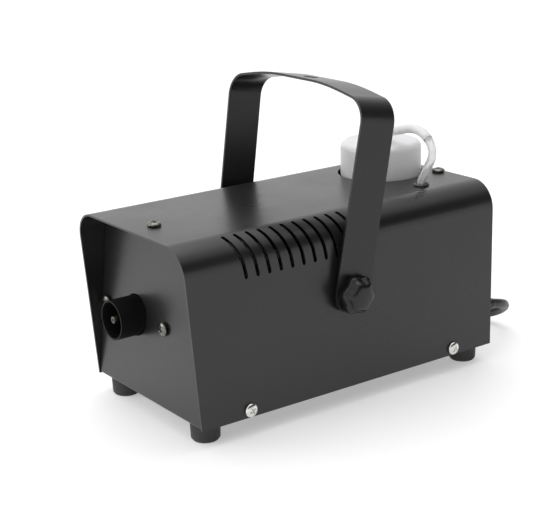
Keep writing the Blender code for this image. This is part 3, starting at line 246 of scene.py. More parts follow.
def make_plastics():
    finish("rubber", (60, 5, grey(0.022), (0.036, 0.036, 0.035)), (180, 4, 0.5, 0.72),
           [(1400, 3, 0.03)], Specular_IOR_Level=0.35)
    finish("grey_rubber", (90, 4, grey(0.075), grey(0.11)), (180, 4, 0.5, 0.72),
           [(1400, 3, 0.03)], Specular_IOR_Level=0.3)
    finish("black_plastic", (50, 4, (0.008, 0.008, 0.009), (0.015, 0.015, 0.016)), (240, 3, 0.26, 0.38),
           [(1800, 2, 0.012)])
    finish("knob_plastic", (70, 4, (0.005, 0.005, 0.0055), (0.009, 0.009, 0.0095)), (240, 3, 0.2, 0.3),
           [(1800, 2, 0.012)], Specular_IOR_Level=0.4)
    finish("cord_pvc", (70, 4, grey(0.009), grey(0.018)), (200, 4, 0.36, 0.5),
           [(1300, 3, 0.015)])
    white = finish("white_plastic", (30, 4, (0.6, 0.6, 0.615), (0.7, 0.695, 0.7)), (120, 4, 0.34, 0.46),
                   [(700, 3, 0.012)], Subsurface_Weight=0.35, Subsurface_Scale=0.004)
    white.shader.inputs["Subsurface Radius"].default_value = (1.0, 0.9, 0.85)
    finish("silicone", (90, 3, grey(0.93), grey(0.98)), (160, 3, 0.08, 0.2),
           [(420, 2, 0.02)], Transmission_Weight=0.75, IOR=1.2)
    finish("frosted_sleeve", (110, 3, grey(0.85), grey(0.95)), (260, 3, 0.45, 0.6),
           [(900, 3, 0.02)], Transmission_Weight=0.35, IOR=1.35)
    lamp = finish("lamp_red", (150, 2, (0.5, 0.012, 0.008), (0.68, 0.025, 0.015)), (200, 2, 0.06, 0.12),
                  Transmission_Weight=0.4, IOR=1.49)
    lamp.relief(lamp.waves(330, "Z"), 0.08 * MM)


def make_other_finishes():
    finish("clear_glass", (40, 2, (0.92, 0.95, 0.95), (0.98, 0.99, 0.99)), (200, 2, 0.01, 0.04),
           Transmission_Weight=1.0, IOR=1.5)
    wrap = finish("insulation", (420, 5, (0.16, 0.15, 0.13), (0.26, 0.245, 0.22)), (200, 3, 0.82, 0.95),
                  Sheen_Weight=0.25, Sheen_Roughness=0.5)
    for direction in ("Y", "Z"):
        wrap.relief(wrap.waves(170, direction), 0.2 * MM)
    board = Paint("circuit_board")
    tracks = "DISTANCE_TO_EDGE"
    board.colour(board.cells(210, tracks), (0.03, 0.26, 0.1), (0.008, 0.11, 0.045), 0.03, 0.07)
    board.rough(board.noise(300, 3), 0.3, 0.45)
    board.relief(board.cells(210, tracks), 0.03 * MM)
    finish("studio_floor", (1.5, 3, grey(0.635), grey(0.65)), (4, 3, 0.55, 0.65),
           Emission_Color=(1, 1, 1, 1), Emission_Strength=0.38)


make_paints()
make_metals()
make_plastics()
make_other_finishes()

# Shapes
SMOOTH_UNDER = math.radians(38)
ROUND_OVER = math.radians(40)
ON_AXIS = 0.001 * MM
NEARLY_STRAIGHT = math.radians(172)
LEAST_REACH = 0.00001
# Stands a flat outline up, its x along the case and its y upright.
ALONG_CASE = Matrix(((0, 0, 1, 0), (1, 0, 0, 0), (0, 1, 0, 0), (0, 0, 0, 1)))


def made_piece(name, mesh_or_bmesh, paint, body="case", slot=None, at=None):
    """Links a piece, gives it its finish and lets it ride."""
    mesh = mesh_or_bmesh
    if isinstance(mesh_or_bmesh, bmesh.types.BMesh):
        mesh = outward_mesh(name, mesh_or_bmesh)
    piece = linked(name, mesh, at)
    mesh.materials.clear()
    mesh.materials.append(MATERIALS[paint])
    mesh.shade_smooth()
    mesh.set_sharp_from_angle(angle=SMOOTH_UNDER)
    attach(piece, body)
    return piece


def facing(axis, at, spin=0.0):
    """The place of a shape whose own Z points along an axis."""
    turn = Z.rotation_difference(Vector(axis)).to_matrix().to_4x4()
    return Matrix.Translation(at) @ turn @ Matrix.Rotation(spin, 4, "Z")


def rounded(points, radius, closed=True, steps=4):
    """The outline with each corner turned into an arc."""
    points = [Vector(point) for point in points]
    count = len(points)
    result = []
    for index, point in enumerate(points):
        if not closed and index in (0, count - 1):
            result.append(point)
            continue
        before, after = points[index - 1], points[(index + 1) % count]
        to_before, to_after = before - point, after - point
        angle = to_before.angle(to_after)
        reach = radius / math.tan(angle / 2) if angle < NEARLY_STRAIGHT else 0
        reach = min(reach, 0.45 * to_before.length, 0.45 * to_after.length)
        if reach < LEAST_REACH:
            result.append(point)
            continue
        start = point + to_before.normalized() * reach
        end = point + to_after.normalized() * reach
        for step in range(steps + 1):
            t = step / steps
            result.append(start * (1 - t) ** 2 + point * 2 * t * (1 - t) + end * t ** 2)
    return result


def lathe_mesh(profile, steps=64, squeeze=None):
    """A closed solid of revolution about Z. The profile is a loop of (radius, height)."""
    made = bmesh.new()
    rings = []
    for radius, height in profile:
        if radius < ON_AXIS:
            rings.append([made.verts.new((0, 0, height))] * steps)
            continue
        ring = []
        for index in range(steps):
            angle = 2 * math.pi * index / steps
            share = squeeze(angle, radius, height) if squeeze else 1
            ring.append(made.verts.new((radius * share * math.cos(angle),
                                        radius * share * math.sin(angle), height)))
        rings.append(ring)
    open_ends = profile[0][0] < ON_AXIS and profile[-1][0] < ON_AXIS
    pairs = list(zip(rings, rings[1:])) + ([] if open_ends else [(rings[-1], rings[0])])
    for first, second in pairs:
        for index in range(steps):
            after = (index + 1) % steps
            corners = [first[index], first[after], second[after], second[index]]
            corners = list(dict.fromkeys(corners))
            if len(corners) > 2:
                made.faces.new(corners)
    return made


def bridge(made, first, second):
    """Faces between two loops with as many points each."""
    for index in range(len(first)):
        after = (index + 1) % len(first)
        made.faces.new((first[index], first[after], second[after], second[index]))


def prism_mesh(outline, thickness):
    """A flat outline in (x, y), given a thickness about z = 0."""
    made = bmesh.new()
    low = [made.verts.new((x, y, -thickness / 2)) for x, y in outline]
    high = [made.verts.new((x, y, thickness / 2)) for x, y in outline]
    made.faces.new(list(reversed(low)))
    made.faces.new(high)
    bridge(made, low, high)
    return made


def block_mesh(size, edge, segments=3):
    """A box about the origin with rounded edges."""
    made = bmesh.new()
    bmesh.ops.create_cube(made, size=1)
    bmesh.ops.transform(made, matrix=Matrix.Diagonal((*size, 1)), verts=made.verts)
    bmesh.ops.bevel(made, geom=list(made.edges) + list(made.verts), offset=edge, segments=segments,
                    affect="EDGES", profile=0.5)
    return made


def sweep_mesh(points, radii, sides=20, hollow=0.0):
    """A round tube along points, with capped ends, or with an inner wall when hollow."""
    points = [Vector(point) for point in points]
    made = bmesh.new()
    tangent = (points[1] - points[0]).normalized()
    across = tangent.orthogonal().normalized()
    outer, inner = [], []
    for index, point in enumerate(points):
        ahead = points[min(index + 1, len(points) - 1)] - points[max(index - 1, 0)]
        new_tangent = ahead.normalized()
        across = (tangent.rotation_difference(new_tangent) @ across).normalized()
        tangent = new_tangent
        side = tangent.cross(across)
        turns = [2 * math.pi * i / sides for i in range(sides)]
        rays = [across * math.cos(t) + side * math.sin(t) for t in turns]
        outer.append([made.verts.new(point + ray * radii[index]) for ray in rays])
        if hollow:
            inner.append([made.verts.new(point + ray * hollow) for ray in rays])
    for rings in (outer, inner):
        for first, second in zip(rings, rings[1:]):
            bridge(made, first, second)
    if hollow:
        bridge(made, outer[0], inner[0])
        bridge(made, outer[-1], inner[-1])
    else:
        made.faces.new(outer[0])
        made.faces.new(outer[-1])
    return made


def smooth_route(knots, spacing):
    """Points a fixed distance apart, near enough, on one smooth curve through the knots."""
    knots = [Vector(knot) for knot in knots]
    padded = [2 * knots[0] - knots[1], *knots, 2 * knots[-1] - knots[-2]]
    route = [knots[0]]
    for before, start, end, after in zip(padded, padded[1:], padded[2:], padded[3:]):
        count = max(1, round((end - start).length / spacing))
        for step in range(1, count + 1):
            t = step / count
            route.append(0.5 * (2 * start + (end - before) * t
                                + (2 * before - 5 * start + 4 * end - after) * t ** 2
                                + (3 * start - before - 3 * end + after) * t ** 3))
    return route


def helper(made, at):
    """A solid for cutting or joining. It is deleted once it has been used."""
    return linked("helper", outward_mesh("helper", made), at)


def settled(piece):
    """Applies the piece's modifiers."""
    bpy.context.view_layer.update()
    seen = piece.evaluated_get(bpy.context.evaluated_depsgraph_get())
    mesh = bpy.data.meshes.new_from_object(seen)
    mesh.name = piece.name
    piece.modifiers.clear()
    piece.data = mesh
    return piece


def carve(piece, helpers, operation="DIFFERENCE"):
    """Cuts, joins or trims a piece with helpers, and deletes them."""
    for index, tool in enumerate(helpers):
        step = piece.modifiers.new(f"carve_{index}", "BOOLEAN")
        step.operation = operation
        step.object = tool
        step.solver = "EXACT"
    settled(piece)
    for tool in helpers:
        bpy.data.objects.remove(tool)
    return piece


def soften(piece, width, segments=2):
    """Rounds the sharp edges left by cutting."""
    bevel = piece.modifiers.new("soften", "BEVEL")
    bevel.width = width
    bevel.segments = segments
    bevel.limit_method = "ANGLE"
    bevel.angle_limit = ROUND_OVER
    piece.data.shade_smooth()
    piece.data.set_sharp_from_angle(angle=ROUND_OVER)
    bevel.harden_normals = True
    return settled(piece)


def rod(start, axis, radius, length, sides=32):
    """A helper cylinder from a start point along an axis."""
    profile = [(0, length), (radius, length), (radius, 0), (0, 0)]
    return helper(lathe_mesh(profile, sides), facing(axis, Vector(start)))


def hole(centre, axis, radius, length, sides=32):
    """A helper cylinder about a centre."""
    return rod(Vector(centre) - axis * length / 2, axis, radius, length, sides)


def bent_sheet(name, rows, paint, thickness, offset, **placing):
    """A strip between pairs of points, thickened inward (offset -1) or to both sides (offset 0)."""
    made = bmesh.new()
    pairs = [(made.verts.new(first), made.verts.new(second)) for first, second in rows]
    for (a, b), (c, d) in zip(pairs, pairs[1:]):
        made.faces.new((a, b, d, c))
    sheet = made_piece(name, mesh_from(name, made), paint, **placing)
    wall = sheet.modifiers.new("wall", "SOLIDIFY")
    wall.thickness = thickness
    wall.offset = offset
    wall.use_even_offset = True
    return settled(sheet)


def scaled(points, edge, closed=True):
    """A rounded profile, given in millimetres."""
    return [(p[0] * MM, p[1] * MM) for p in rounded(points, edge, closed)]


def rearward(place, y):
    """The place of a turned piece whose own Z points to the rear, starting at y."""
    return facing(Y, Vector((place.x, y, place.z)))


def arc(centre, radius, start, end, steps):
    turns = [math.radians(start + (end - start) * i / steps) for i in range(steps + 1)]
    return [(centre[0] + radius * math.cos(t), centre[1] + radius * math.sin(t)) for t in turns]


# Mains lead
CORD_RADIUS = 3.3 * MM
RELIEF_RADIUS = 4.6 * MM
RELIEF_LENGTH = 22  # millimetres
RELIEF_ROUTE = [(0.038, 0.11785, 0.031), (0.038, 0.12385, 0.0309), (0.038, 0.12985, 0.0305),
                (0.038, 0.13485, 0.0298), (0.038, 0.13985, 0.0288)]
LEAD_ROUTE = [(0.0372, 0.14705, 0.0269), (0.033, 0.15605, 0.0233), (0.0261, 0.16295, 0.0181),
              (0.0172, 0.16705, 0.0125), (0.0076, 0.16785, 0.0078), (-0.0018, 0.16545, 0.0048),
              (-0.0098, 0.15985, 0.0036), (-0.0162, 0.15345, 0.0034)]
COIL_MIDDLE = Vector((-0.066, 0.1661, 0))
COIL_RADIUS = 37.6 * MM
TURN_PITCH = 6.7 * MM
FIRST_LAYER = 3.4 * MM
TAIL_X = -0.1102
TAIL_ROUTE = [(TAIL_X, 0.1921, 0.0113), (TAIL_X, 0.1981, 0.0122), (TAIL_X, 0.2031, 0.0123),
              (TAIL_X, 0.2071, 0.0123)]
ENTRY_ANGLE = -45
COIL_TURN = 5 * 360 + 135  # degrees wound, clockwise from above


def eased(value, start, end):
    t = min(1, max(0, (value - start) / (end - start)))
    return t * t * (3 - 2 * t)


def coil_point(turned):
    """Just over two and a half turns inward on the floor, a climb, and as many outward on top."""
    inward = eased(turned, 285, 360) + eased(turned, 645, 720)
    climb = eased(turned, 930, 1005)
    outward = eased(turned, 1220, 1290) + eased(turned, 1580, 1650)
    radius = COIL_RADIUS + TURN_PITCH * (1 - inward + outward)
    angle = math.radians(ENTRY_ANGLE - turned)
    height = FIRST_LAYER + TURN_PITCH * climb
    return COIL_MIDDLE + Vector((radius * math.cos(angle), radius * math.sin(angle), height))


def tie_mesh():
    """A flat band round both layers of the coil, standing across x."""
    slack, off_floor, half_band = 0.9 * MM, 0.05 * MM, 2.5 * MM
    half_wide = TURN_PITCH + CORD_RADIUS + slack
    high = FIRST_LAYER + TURN_PITCH + CORD_RADIUS + slack
    band = [(-half_wide, off_floor), (half_wide, off_floor), (half_wide, high), (-half_wide, high)]
    gap = [(x * 0.92, 0.6 * MM + (z - off_floor) * 0.93) for x, z in band]
    outer = rounded(band, 4 * MM, steps=6)
    inner = rounded(gap, 3.4 * MM, steps=6)
    made = bmesh.new()
    loops = []
    for outline, y in ((outer, -half_band), (outer, half_band), (inner, half_band), (inner, -half_band)):
        loops.append([made.verts.new((x, y, z)) for x, z in outline])
    for index in range(4):
        bridge(made, loops[index - 1], loops[index])
    return made


def make_mains_lead():
    """The lead with its moulded relief, its plug and the tie round the coil."""
    free = smooth_route(RELIEF_ROUTE + LEAD_ROUTE, 4.6 * MM)
    straight = [free[-1].lerp(coil_point(0), share) for share in (0.33, 0.67)]
    turns = [coil_point(degrees) for degrees in range(0, COIL_TURN + 1, 9)]
    last = turns[-1]
    rise = [last + Vector((0, 0.009, 0.0002)), last + Vector((0, 0.018, 0.0006))]
    tail = rise + [Vector(point) for point in TAIL_ROUTE]
    route = free + straight + turns + tail
    data = bpy.data.curves.new("mains_cord", "CURVE")
    data.dimensions = "3D"
    data.bevel_depth = CORD_RADIUS
    data.bevel_resolution = 6
    data.use_fill_caps = True
    data.materials.append(MATERIALS["cord_pvc"])
    spline = data.splines.new("POLY")
    spline.points.add(len(route) - 1)
    for point, place in zip(spline.points, route):
        point.co = (*place, 1)
    spline.use_smooth = True
    cord = linked("mains_cord", data)
    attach(cord, "case")
    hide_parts("mains_lead", "mains_lead_coil", "mains_lead_tail")

    boot = smooth_route(RELIEF_ROUTE, 0.5 * MM)
    widths = []
    for index in range(len(boot)):
        share = index / (len(boot) - 1)
        along = share * RELIEF_LENGTH
        grooved = 5 < along < 20 and along % 3 < 1.1
        widths.append(RELIEF_RADIUS * (1 - 0.25 * share) * (0.86 if grooved else 1))
    widths[0] *= 0.94
    widths[-1] *= 0.93
    relief = made_piece("relief_moulding", sweep_mesh(boot, widths, 32), "black_plastic")
    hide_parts("strain_relief")

    end = Vector(TAIL_ROUTE[-1]) + Vector((0, GAP, 0))
    grip = scaled([(0, 36), (11, 36), (12.2, 34), (12.2, 27), (11.4, 25.5), (11.4, 24), (12.2, 22.5),
                   (12.2, 19), (7, 13), (4.4, 0), (0, 0)], 1.2, False)
    plug = made_piece("plug_body", lathe_mesh(grip, 48), "black_plastic", at=facing(Y, end))
    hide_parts("mains_plug")
    for word, side in (("right", 1), ("left", -1)):
        at = Matrix.Translation(end + Vector((side * 6.3, 35.6 + 8.5, 2)) * MM)
        blade = block_mesh((1.5 * MM, 17 * MM, 6.3 * MM), 0.4 * MM)
        made_piece(f"plug_blade_{word}", blade, "brass", at=at)
    pin = scaled([(0, 20), (2.3, 20), (2.3, 0), (0, 0)], 1.4, False)
    made_piece("plug_earth_pin", lathe_mesh(pin, 24), "brass",
                            at=facing(Y, end + Vector((0, 35, -7)) * MM))
    tie_turn = math.radians(-100)
    tie_at = COIL_MIDDLE + Vector((math.cos(tie_turn), math.sin(tie_turn), 0)) * COIL_RADIUS
    made_piece("coil_tie", tie_mesh(), "rubber",
                            at=Matrix.Translation(tie_at) @ Matrix.Rotation(tie_turn, 4, "Z"))


make_mains_lead()


# Case
def panel_front(z):
    """The front panel's outer face at a height."""
    return FRONT + GAP + PANEL_LEAN * (z - BOTTOM)


SIDE_SCREWS = [middle(f"cover_side_screw_{number}") for number in (1, 2, 3, 4)]
TOP_SCREWS = [middle(f"cover_top_screw_{number}") for number in (1, 2)]
PANEL_SCREWS = [middle(f"nozzle_bracket_screw_{number}") for number in (1, 2)]
FEET = [middle(f"foot_{number}") for number in (1, 2, 3, 4)]
PIVOT = middle("handle_spacer_right").y, middle("handle_spacer_right").z
NOZZLE = middle("nozzle_shroud")
BOTTLE = middle("bottle_cap")
TUBE_ENTRY = middle("tube_grommet")
SCREW_HOLE = 2.1 * MM
PIVOT_HOLE = 2.8 * MM
BOTTLE_HOLE = 29 * MM
THROUGH = 4 * SHEET
VENT_COUNT = 11
VENT_PITCH = 8.35 * MM
VENT_WIDTH = 2.4 * MM
VENT_LENGTH = 27.4 * MM
VENT_SLANT = math.radians(17)
VENT_DOWN = 4.2 * MM
FIRST_VENT_IN_Y = 30.6 * MM


def vent_helpers():
    """Slanted round-ended slots across the top corner on both sides."""
    half_run = (VENT_LENGTH - VENT_WIDTH) / 2
    slot = [(half_run + x, y) for x, y in arc((0, 0), VENT_WIDTH / 2, -90, 90, 10)]
    slot += [(x - half_run, y) for x, y in arc((0, 0), VENT_WIDTH / 2, 90, 270, 10)]
    inset = FILLET * (1 - math.sqrt(0.5))
    found = []
    for side in (1, -1):
        lower = Vector((side, 0, -1)).normalized()
        outward = Vector((side, 0, 1)).normalized()
        run = (lower * math.cos(VENT_SLANT) + Y * math.sin(VENT_SLANT)).normalized()
        turn = Matrix((run, outward.cross(run), outward)).transposed().to_4x4()
        for index in range(VENT_COUNT):
            y = FRONT + FIRST_VENT_IN_Y + index * VENT_PITCH
            place = Vector((side * (HALF - inset), y, TOP - inset)) + lower * VENT_DOWN
            found.append(helper(prism_mesh(slot, 1.5 * FILLET), Matrix.Translation(place) @ turn))
    return found


def arch(half, low, top, radius, steps):
    """From the foot of one side, over the top, to the foot of the other."""
    return [(half, low), *arc((half - radius, top - radius), radius, 0, 90, steps),
            *arc((radius - half, top - radius), radius, 90, 180, steps), (-half, low)]


def side_holes(places, face, sides=32):
    """Cutters for screws through the side walls."""
    return [hole((math.copysign(face, place.x), place.y, place.z), X, SCREW_HOLE, THROUGH, sides)
            for place in places]


def upright_holes(places, face, sides=32):
    """Cutters for screws through the top or the floor."""
    return [hole((place.x, place.y, face), Z, SCREW_HOLE, THROUGH, sides) for place in places]


def make_cover():
    """The inverted U, whose front edge leans forward."""
    rows = []
    for x, z in arch(HALF, BOTTOM, TOP, FILLET, 24):
        front = FRONT - VISOR * (z - BOTTOM) / (TOP - BOTTOM)
        rows.append(((x, front, z), (x, REAR, z)))
    cover = bent_sheet("cover_sheet", rows, "black_paint", SHEET, -1)
    cuts = vent_helpers() + side_holes(SIDE_SCREWS, HALF)
    cuts += [hole((side * HALF, *PIVOT), X, PIVOT_HOLE, THROUGH) for side in (1, -1)]
    cuts += upright_holes(TOP_SCREWS, TOP)
    cuts.append(hole((BOTTLE.x, BOTTLE.y, TOP), Z, BOTTLE_HOLE, THROUGH, 96))
    cuts.append(hole((TUBE_ENTRY.x, TUBE_ENTRY.y, TOP), Z, 4.4 * MM, THROUGH))
    carve(cover, cuts)
    soften(cover, 0.25 * MM)
    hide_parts("cover")


make_cover()


def make_chassis():
    """Floor and both end panels, folded with a bend radius, with lips, bosses and holes."""
    lean = math.sqrt(1 + PANEL_LEAN ** 2) * SHEET
    floor_low = BOTTOM + GAP
    floor_top = floor_low + SHEET
    panel_in = PANEL_OUT - SHEET
    outline = [
        (panel_front(floor_low), floor_low), (PANEL_OUT, floor_low), (PANEL_OUT, INSIDE_TOP),
        (panel_in, INSIDE_TOP), (panel_in, floor_top), (panel_front(floor_top) + lean, floor_top),
        (panel_front(INSIDE_TOP) + lean, INSIDE_TOP), (panel_front(INSIDE_TOP), INSIDE_TOP)]
    bent = []
    for index, point in enumerate(outline):
        if index in (0, 1):
            before, after = outline[index - 1], outline[index + 1]
            bent += rounded([before, point, after], 1.6 * MM, closed=False, steps=6)[1:-1]
        else:
            bent.append(Vector(point))
    chassis = made_piece("chassis_sheet", prism_mesh(bent, 2 * INSIDE), "black_paint", at=ALONG_CASE)
    envelope = arch(INSIDE, BOTTOM - 5 * MM, INSIDE_TOP, FILLET - 1.6 * MM, 20)
    stand = Matrix(((1, 0, 0, 0), (0, 0, -1, 0), (0, 1, 0, 0), (0, 0, 0, 1)))
    carve(chassis, [helper(prism_mesh(envelope, 0.5), stand)], "INTERSECT")
    added = []
    for side in (1, -1):
        size = (SHEET, 2 * REAR - 28 * MM, 14 * MM - SHEET / 2)
        at = (side * (INSIDE - SHEET / 2), 0, floor_low + SHEET / 2 + size[2] / 2)
        added.append(helper(block_mesh(size, 0.1 * MM, 1), Matrix.Translation(at)))
    face = panel_front(INSIDE_TOP)
    for place, start, end in ((TOP_SCREWS[0], face - 10.5 * MM, face + SHEET / 2),
                              (TOP_SCREWS[1], panel_in - 10.5 * MM, panel_in + SHEET / 2)):
        size = (40 * MM, end - start, SHEET)
        at = (place.x, (start + end) / 2, INSIDE_TOP - SHEET / 2)
        added.append(helper(block_mesh(size, 0.1 * MM, 1), Matrix.Translation(at)))
    board_low, board_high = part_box("control_board")
    inset = 4 * MM
    for x in (board_low.x + inset, board_high.x - inset):
        for y in (board_low.y + inset, board_high.y - inset):
            start = floor_low + SHEET / 2
            added.append(rod((x, y, start), Z, 2.5 * MM, board_low.z - GAP - start, 24))
    carve(chassis, added, "UNION")
    cuts = side_holes(SIDE_SCREWS, INSIDE, 20) + upright_holes(TOP_SCREWS, INSIDE_TOP, 20)
    cuts.append(hole((BOTTLE.x, BOTTLE.y, INSIDE_TOP), Z, BOTTLE_HOLE, 4 * THROUGH, 64))
    cuts += upright_holes(FEET, floor_low, 20)
    deep = 12 * MM
    face = panel_front(NOZZLE.z)
    cuts.append(hole((NOZZLE.x, face, NOZZLE.z), Y, 13.1 * MM, deep, 48))
    for place in PANEL_SCREWS:
        cuts.append(hole((place.x, face, place.z), Y, SCREW_HOLE, deep, 20))
    for node, radius in (("cord_gland", 5.7), ("fuse_holder", 6.1), ("remote_socket", 6.9),
                         ("ready_lamp", 3.3)):
        place = middle(node)
        cuts.append(hole((place.x, panel_in, place.z), Y, radius * MM, THROUGH))
    place = middle("switch_housing")
    cuts.append(helper(block_mesh((13 * MM, THROUGH, 19 * MM), 0.3 * MM, 2),
                       Matrix.Translation((place.x, panel_in, place.z))))
    carve(chassis, cuts)
    soften(chassis, 0.2 * MM)
    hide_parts("chassis")


make_chassis()

# Screws and feet
HEAD = 4.3 * MM
HEAD_HIGH = 2.5 * MM


def screw_mesh():
    """A pan head with a cross recess, on its shank, with the head's underside at z = 0."""
    dome = [(HEAD * math.cos(t), 0.75 * MM + (HEAD_HIGH - 0.75 * MM) * math.sin(t))
            for t in [math.radians(90 - 90 * i / 12) for i in range(13)]]
    dome[0] = (0, HEAD_HIGH)
    profile = dome + [(HEAD, 0.3 * MM), (HEAD * 0.95, 0), (1.7 * MM, 0)]
    for turn in range(7):
        profile += [(1.7 * MM, (-0.4 - 0.9 * turn) * MM), (1.35 * MM, (-0.85 - 0.9 * turn) * MM)]
    profile += [(1.2 * MM, -6.8 * MM), (0, -6.95 * MM)]
    piece = helper(lathe_mesh(profile, 40), Matrix.Identity(4))
    tools = []
    for turn in (0, math.pi / 2):
        wedge = block_mesh((4.6 * MM, 1.05 * MM, 2.4 * MM), 0.12 * MM, 1)
        tools.append(helper(wedge, Matrix.Translation((0, 0, HEAD_HIGH)) @ Matrix.Rotation(turn, 4, "Z")))
    pit = [(0, 0.8 * MM), (1.15 * MM, 0.8 * MM), (0.2 * MM, -1.5 * MM), (0, -1.5 * MM)]
    tools.append(helper(lathe_mesh(pit, 16), Matrix.Translation((0, 0, HEAD_HIGH))))
    carve(piece, tools)
    mesh = piece.data
    bpy.data.objects.remove(piece)
    return mesh


def make_screws():
    shape = screw_mesh()

    def screw(name, paint, axis, at, spin, size=1.0):
        turn = facing(axis, Vector(at), spin) @ Matrix.Diagonal((size, size, size, 1))
        return made_piece(name, shape.copy(), paint, at=turn)

    for number, place in enumerate(SIDE_SCREWS, 1):
        side = math.copysign(1, place.x)
        piece = screw(f"side_screw_{number}", "screw_steel", (side, 0, 0),
                      (side * (HALF + GAP), place.y, place.z), 0.5 * number)
        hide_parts(f"cover_side_screw_{number}")
    for number, place in enumerate(TOP_SCREWS, 1):
        piece = screw(f"top_screw_{number}", "black_screw", Z, (place.x, place.y, TOP + GAP), 0.4 + number)
        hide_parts(f"cover_top_screw_{number}")
    for number, place in enumerate(PANEL_SCREWS, 1):
        head_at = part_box(f"nozzle_bracket_screw_{number}")[0].y + HEAD_HIGH
        piece = screw(f"panel_screw_{number}", "black_screw", -Y, (place.x, head_at, place.z), 0.7 * number)
        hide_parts(f"nozzle_bracket_screw_{number}")
    for number, place in enumerate(FEET, 1):
        screw(f"foot_screw_{number}", "screw_steel", -Z, (place.x, place.y, 4.9 * MM), 0.9 * number, 0.8)


def make_feet():
    foot_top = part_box("foot_1")[1].z
    wide = (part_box("foot_1")[1].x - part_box("foot_1")[0].x) / 2
    profile = [(2.1 * MM, foot_top), (wide, foot_top), (wide - 0.4 * MM, 1.6 * MM),
               (wide - 1.6 * MM, 0), (4.4 * MM, 0), (4.4 * MM, 5 * MM), (2.1 * MM, 5 * MM)]
    profile = rounded(profile, 0.9 * MM)
    for number, place in enumerate(FEET, 1):
        piece = made_piece(f"rubber_foot_{number}", lathe_mesh(profile, 56), "rubber",
                           at=Matrix.Translation((place.x, place.y, 0)))
        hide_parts(f"foot_{number}")


make_screws()
make_feet()


# Nozzle
def make_nozzle():
    low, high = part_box("nozzle_shroud")
    length = high.y - low.y
    outer, inner, flange = 12.5 * MM, 11.3 * MM, 15 * MM
    profile = rounded([(inner, length), (flange, length), (flange, length - 1 * MM),
                       (outer, length - 1 * MM), (outer, 0), (inner, 0)], 0.35 * MM)
    shroud = made_piece("nozzle_tube", lathe_mesh(profile, 96), "matt_black", slot="black_paint",
                        at=rearward(NOZZLE, low.y))
    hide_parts("nozzle_shroud")
    low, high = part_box("nozzle_tip")
    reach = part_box("heater_block")[0].y - low.y
    total = high.y - low.y
    fine = 0.7 * MM
    profile = rounded([(fine, total), (3.6 * MM, total), (3.6 * MM, reach - GAP), (6.5 * MM, reach - GAP),
                       (6.5 * MM, reach - 4.5 * MM), (3.2 * MM, reach - 4.5 * MM), (3.2 * MM, 5 * MM),
                       (2.2 * MM, 0), (fine, 0)], 0.3 * MM)

    def hexagon(angle, radius, height):
        on_collar = radius > 5 * MM and height > 5 * MM
        return math.cos(math.pi / 6) / math.cos((angle % (math.pi / 3)) - math.pi / 6) if on_collar else 1

    tip = made_piece("spray_tip", lathe_mesh(profile, 60, hexagon), "sooted_brass", slot="brass",
                     at=rearward(NOZZLE, low.y))
    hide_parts("nozzle_tip")


make_nozzle()

# Handle
HANDLE_TILT = math.radians(9.5)
HANDLE_REACH = 123.5 * MM
STRAP = 1.5 * MM
STRAP_IN = HALF + 3.5 * MM
STRAP_OUT = STRAP_IN + STRAP
FOOT_WIDTH = 26 * MM
FLARE = 3.1 * MM
BAR_WIDTH = 25.4 * MM
CORNER = 14.5 * MM
ARCH = 4.5 * MM
FLAT = 16 * MM


def make_handle():
    """One strap bent over the case. Its feet are round, and its bar is slightly crowned."""
    centre = STRAP_IN + STRAP / 2
    reach = HANDLE_REACH - STRAP / 2 - 0.1 * MM
    low_corner = reach - ARCH
    foot = FOOT_WIDTH / 2
    bar = BAR_WIDTH / 2
    path = []
    for step in range(19):
        angle = math.radians(-90 + 5 * step)
        path.append((centre, foot * math.sin(angle), max(foot * math.cos(angle), 1.2 * MM)))
    path.append((centre, foot, foot))
    for x, z in arc((centre + FLARE - CORNER, low_corner - CORNER), CORNER, 0, 82, 24):
        path.append((x, z, bar))
    last_x, last_z = path[-1][:2]
    for step in range(1, 13):
        share = step / 12
        x = last_x + (FLAT - last_x) * share
        path.append((x, last_z + (reach - last_z) * math.sin(share * math.pi / 2), bar))
    path += [(-x, z, width) for x, z, width in reversed(path)]
    rows = [((x, -width, z), (x, width, z)) for x, z, width in path]
    turn = Matrix.Translation((0, *PIVOT)) @ Matrix.Rotation(-HANDLE_TILT, 4, "X")
    handle = bent_sheet("handle_strap", rows, "strap_paint", STRAP, 0, body="handle",
                        slot="black_paint", at=turn)
    up = Matrix.Rotation(-HANDLE_TILT, 3, "X") @ Z
    through = 6 * MM
    cuts = [hole(Vector((0, *PIVOT)) + up * reach, up, 5 * MM, through, 40)]
    cuts += [hole((side * centre, *PIVOT), X, PIVOT_HOLE, through) for side in (1, -1)]
    carve(handle, cuts)
    soften(handle, 0.35 * MM, 3)
    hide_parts("handle")


# (share of the radius, share of the depth), from the back of the knob to the middle of its face.
KNOB_PROFILE = [(0, 0), (0.6, 0), (0.88, 0), (0.94, 0.02), (0.98, 0.06), (1, 0.12), (1, 0.38),
                (0.985, 0.45), (0.94, 0.51), (0.87, 0.57), (0.82, 0.63), (0.785, 0.7), (0.75, 0.77),
                (0.7, 0.835), (0.63, 0.89), (0.54, 0.935), (0.43, 0.965), (0.3, 0.985), (0.15, 0.997),
                (0, 1)]


